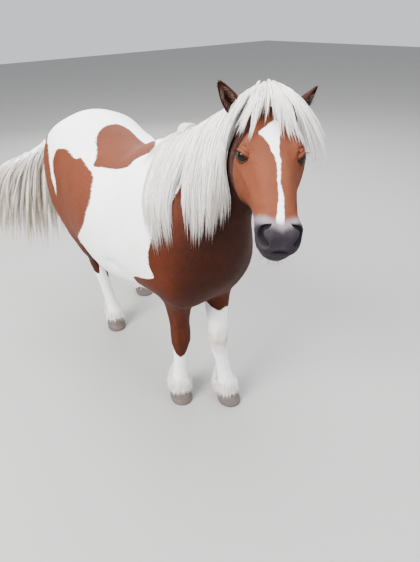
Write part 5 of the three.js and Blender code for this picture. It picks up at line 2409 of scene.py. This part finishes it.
@dataclass(frozen=True)
class Studio:
    """Floor, light and camera, with the camera where the photo was taken from."""

    position: Triple = (1.2836, -0.6031, 1.2490)
    ahead: Triple = (-0.6864, 0.5042, -0.5240)
    right: Triple = (0.6064, 0.7946, -0.0297)
    lens: float = 28.505
    floor_half: float = 14.0

    def floor(self) -> bpy.types.Object:
        """A plain pale floor."""
        h = self.floor_half
        points = np.array([(-h, -h, 0), (h, -h, 0), (h, h, 0), (-h, h, 0)], float)
        piece = mesh_object("floor", points, np.array([(0, 1, 2), (0, 2, 3)]))
        material = bpy.data.materials.new("floor")
        material.use_nodes = True
        shader = material.node_tree.nodes["Principled BSDF"]
        shader.inputs["Base Color"].default_value = (0.30, 0.295, 0.29, 1.0)
        shader.inputs["Roughness"].default_value = 0.85
        piece.data.materials.append(material)
        return piece

    @staticmethod
    def lamp(
        name: str, place: Triple, aim: Triple, size: float, power: float, warmth: Triple
    ) -> bpy.types.Object:
        """One soft area light.

        Args:
            name: name of the lamp.
            place: where it stands.
            aim: the point that it faces.
            size: length of its sides, in metres.
            power: its power in watts.
            warmth: its colour.

        Returns:
            The lamp.
        """
        light = bpy.data.lights.new(name, "AREA")
        light.shape = "SQUARE"
        light.size = size
        light.energy = power
        light.color = warmth
        lamp = bpy.data.objects.new(name, light)
        bpy.context.scene.collection.objects.link(lamp)
        lamp.location = place
        lamp.rotation_euler = (Vector(aim) - Vector(place)).to_track_quat("-Z", "Y").to_euler()
        return lamp

    def camera(self) -> bpy.types.Object:
        """The camera of the photo."""
        data = bpy.data.cameras.new("camera")
        data.sensor_fit = "AUTO"
        data.sensor_width = 36.0
        data.lens = self.lens
        data.dof.use_dof = False
        data.clip_end = 60.0
        camera = bpy.data.objects.new("camera", data)
        bpy.context.scene.collection.objects.link(camera)
        ahead, right = Vector(self.ahead).normalized(), Vector(self.right).normalized()
        up = right.cross(ahead)
        turned = Matrix((right, up, -ahead)).transposed().to_4x4()
        camera.matrix_world = Matrix.Translation(Vector(self.position)) @ turned
        bpy.context.scene.camera = camera
        return camera

    def build(self) -> None:
        """Sets everything up."""
        aim = (0.1, 0.0, 0.6)
        pieces = [
            self.floor(),
            self.camera(),
            self.lamp("key", (0.4, -3.2, 3.4), aim, 2.2, 600.0, (1.0, 0.985, 0.96)),
            self.lamp("fill", (3.6, 1.4, 2.2), aim, 3.0, 130.0, (0.96, 0.98, 1.0)),
            self.lamp("top", (-0.4, 0.4, 4.2), (0.0, 0.0, 0.5), 4.0, 420.0, (0.98, 0.99, 1.0)),
            self.lamp("back", (-3.4, 1.8, 2.2), aim, 2.5, 110.0, (1.0, 1.0, 1.0)),
        ]
        world = bpy.data.worlds.new("studio")
        world.use_nodes = True
        sky = world.node_tree.nodes["Background"]
        sky.inputs["Color"].default_value = (0.78, 0.80, 0.83, 1.0)
        sky.inputs["Strength"].default_value = 1.1
        bpy.context.scene.world = world


def main() -> None:
    """Builds, dresses and places every piece."""
    logging.basicConfig(level=logging.INFO, format="%(message)s", stream=sys.stdout)
    coat_effect = CoatPalette().effect()
    skin_finish = Finish("skin", roughness=0.68, specular=0.14, bump=0.35).make(coat_effect)
    coat_finish = Finish("coat", roughness=0.75, specular=0.12, sheen=0.02).make(coat_effect)
    mane_finish = Finish("mane", roughness=0.5, specular=0.35).make(MANE_COLOURS.effect())
    tail_finish = Finish("tail", roughness=0.5, specular=0.35).make(TAIL_COLOURS.effect())
    lash_finish = Finish("lashes", roughness=0.7, specular=0.1).make(LASH_COLOURS.effect())
    down_finish = Finish("down", roughness=0.6, specular=0.25).make(DOWN_COLOURS.effect())

    skin = Skin()
    piece = skin.build()
    surface = Surface.of(piece)
    finish_piece(piece, Slot.COAT, skin_finish, *skin.flesh, "ear_right", "ear_left")

    eye_finish = Finish("eyeball", roughness=0.10, specular=0.20).make(eye_effect())
    for eye in EYES:
        finish_piece(eye.build_ball(), Slot.EYE, eye_finish, eye.node)
    rims = mesh_object("lid_rims", *joined([eye.rim_mesh() for eye in EYES]))
    finish_piece(rims, Slot.COAT, Finish("lids", roughness=0.45, specular=0.2).make(lid_effect()))
    horn_finish = Finish("horn", roughness=0.5, specular=0.4, bump=0.25).make(horn_effect())
    finish_piece(Hooves().build(), Slot.HORN, horn_finish, *Hooves.names)

    for coat in COATS:
        finish_piece(coat.build(surface), Slot.COAT, coat_finish)

    mane = Mane(surface)
    fore, aft = (0.0, MANE_GAP[0]), (MANE_GAP[0], 1.0)
    finish_piece(mane.side(Side.RIGHT, "mane_near_poll", 90, fore), Slot.HAIR, mane_finish, "mane_right")
    finish_piece(mane.side(Side.RIGHT, "mane_near_withers", 74, aft), Slot.HAIR, mane_finish)
    finish_piece(mane.side(Side.LEFT, "mane_far_side", 64, (0.0, 1.0)), Slot.HAIR, mane_finish, "mane_left")
    finish_piece(mane.forelock(), Slot.HAIR, mane_finish, "forelock")
    finish_piece(mane.poll(), Slot.HAIR, mane_finish)
    finish_piece(Tail(surface).build(), Slot.HAIR, tail_finish, "tail_hair")
    small = SmallHair(surface)
    finish_piece(small.feather(), Slot.HAIR, mane_finish)
    finish_piece(small.ear_hair(), Slot.HAIR, down_finish)
    finish_piece(small.whiskers(), Slot.HAIR, lash_finish)

    Studio().build()


if __name__ == "__main__":
    main()
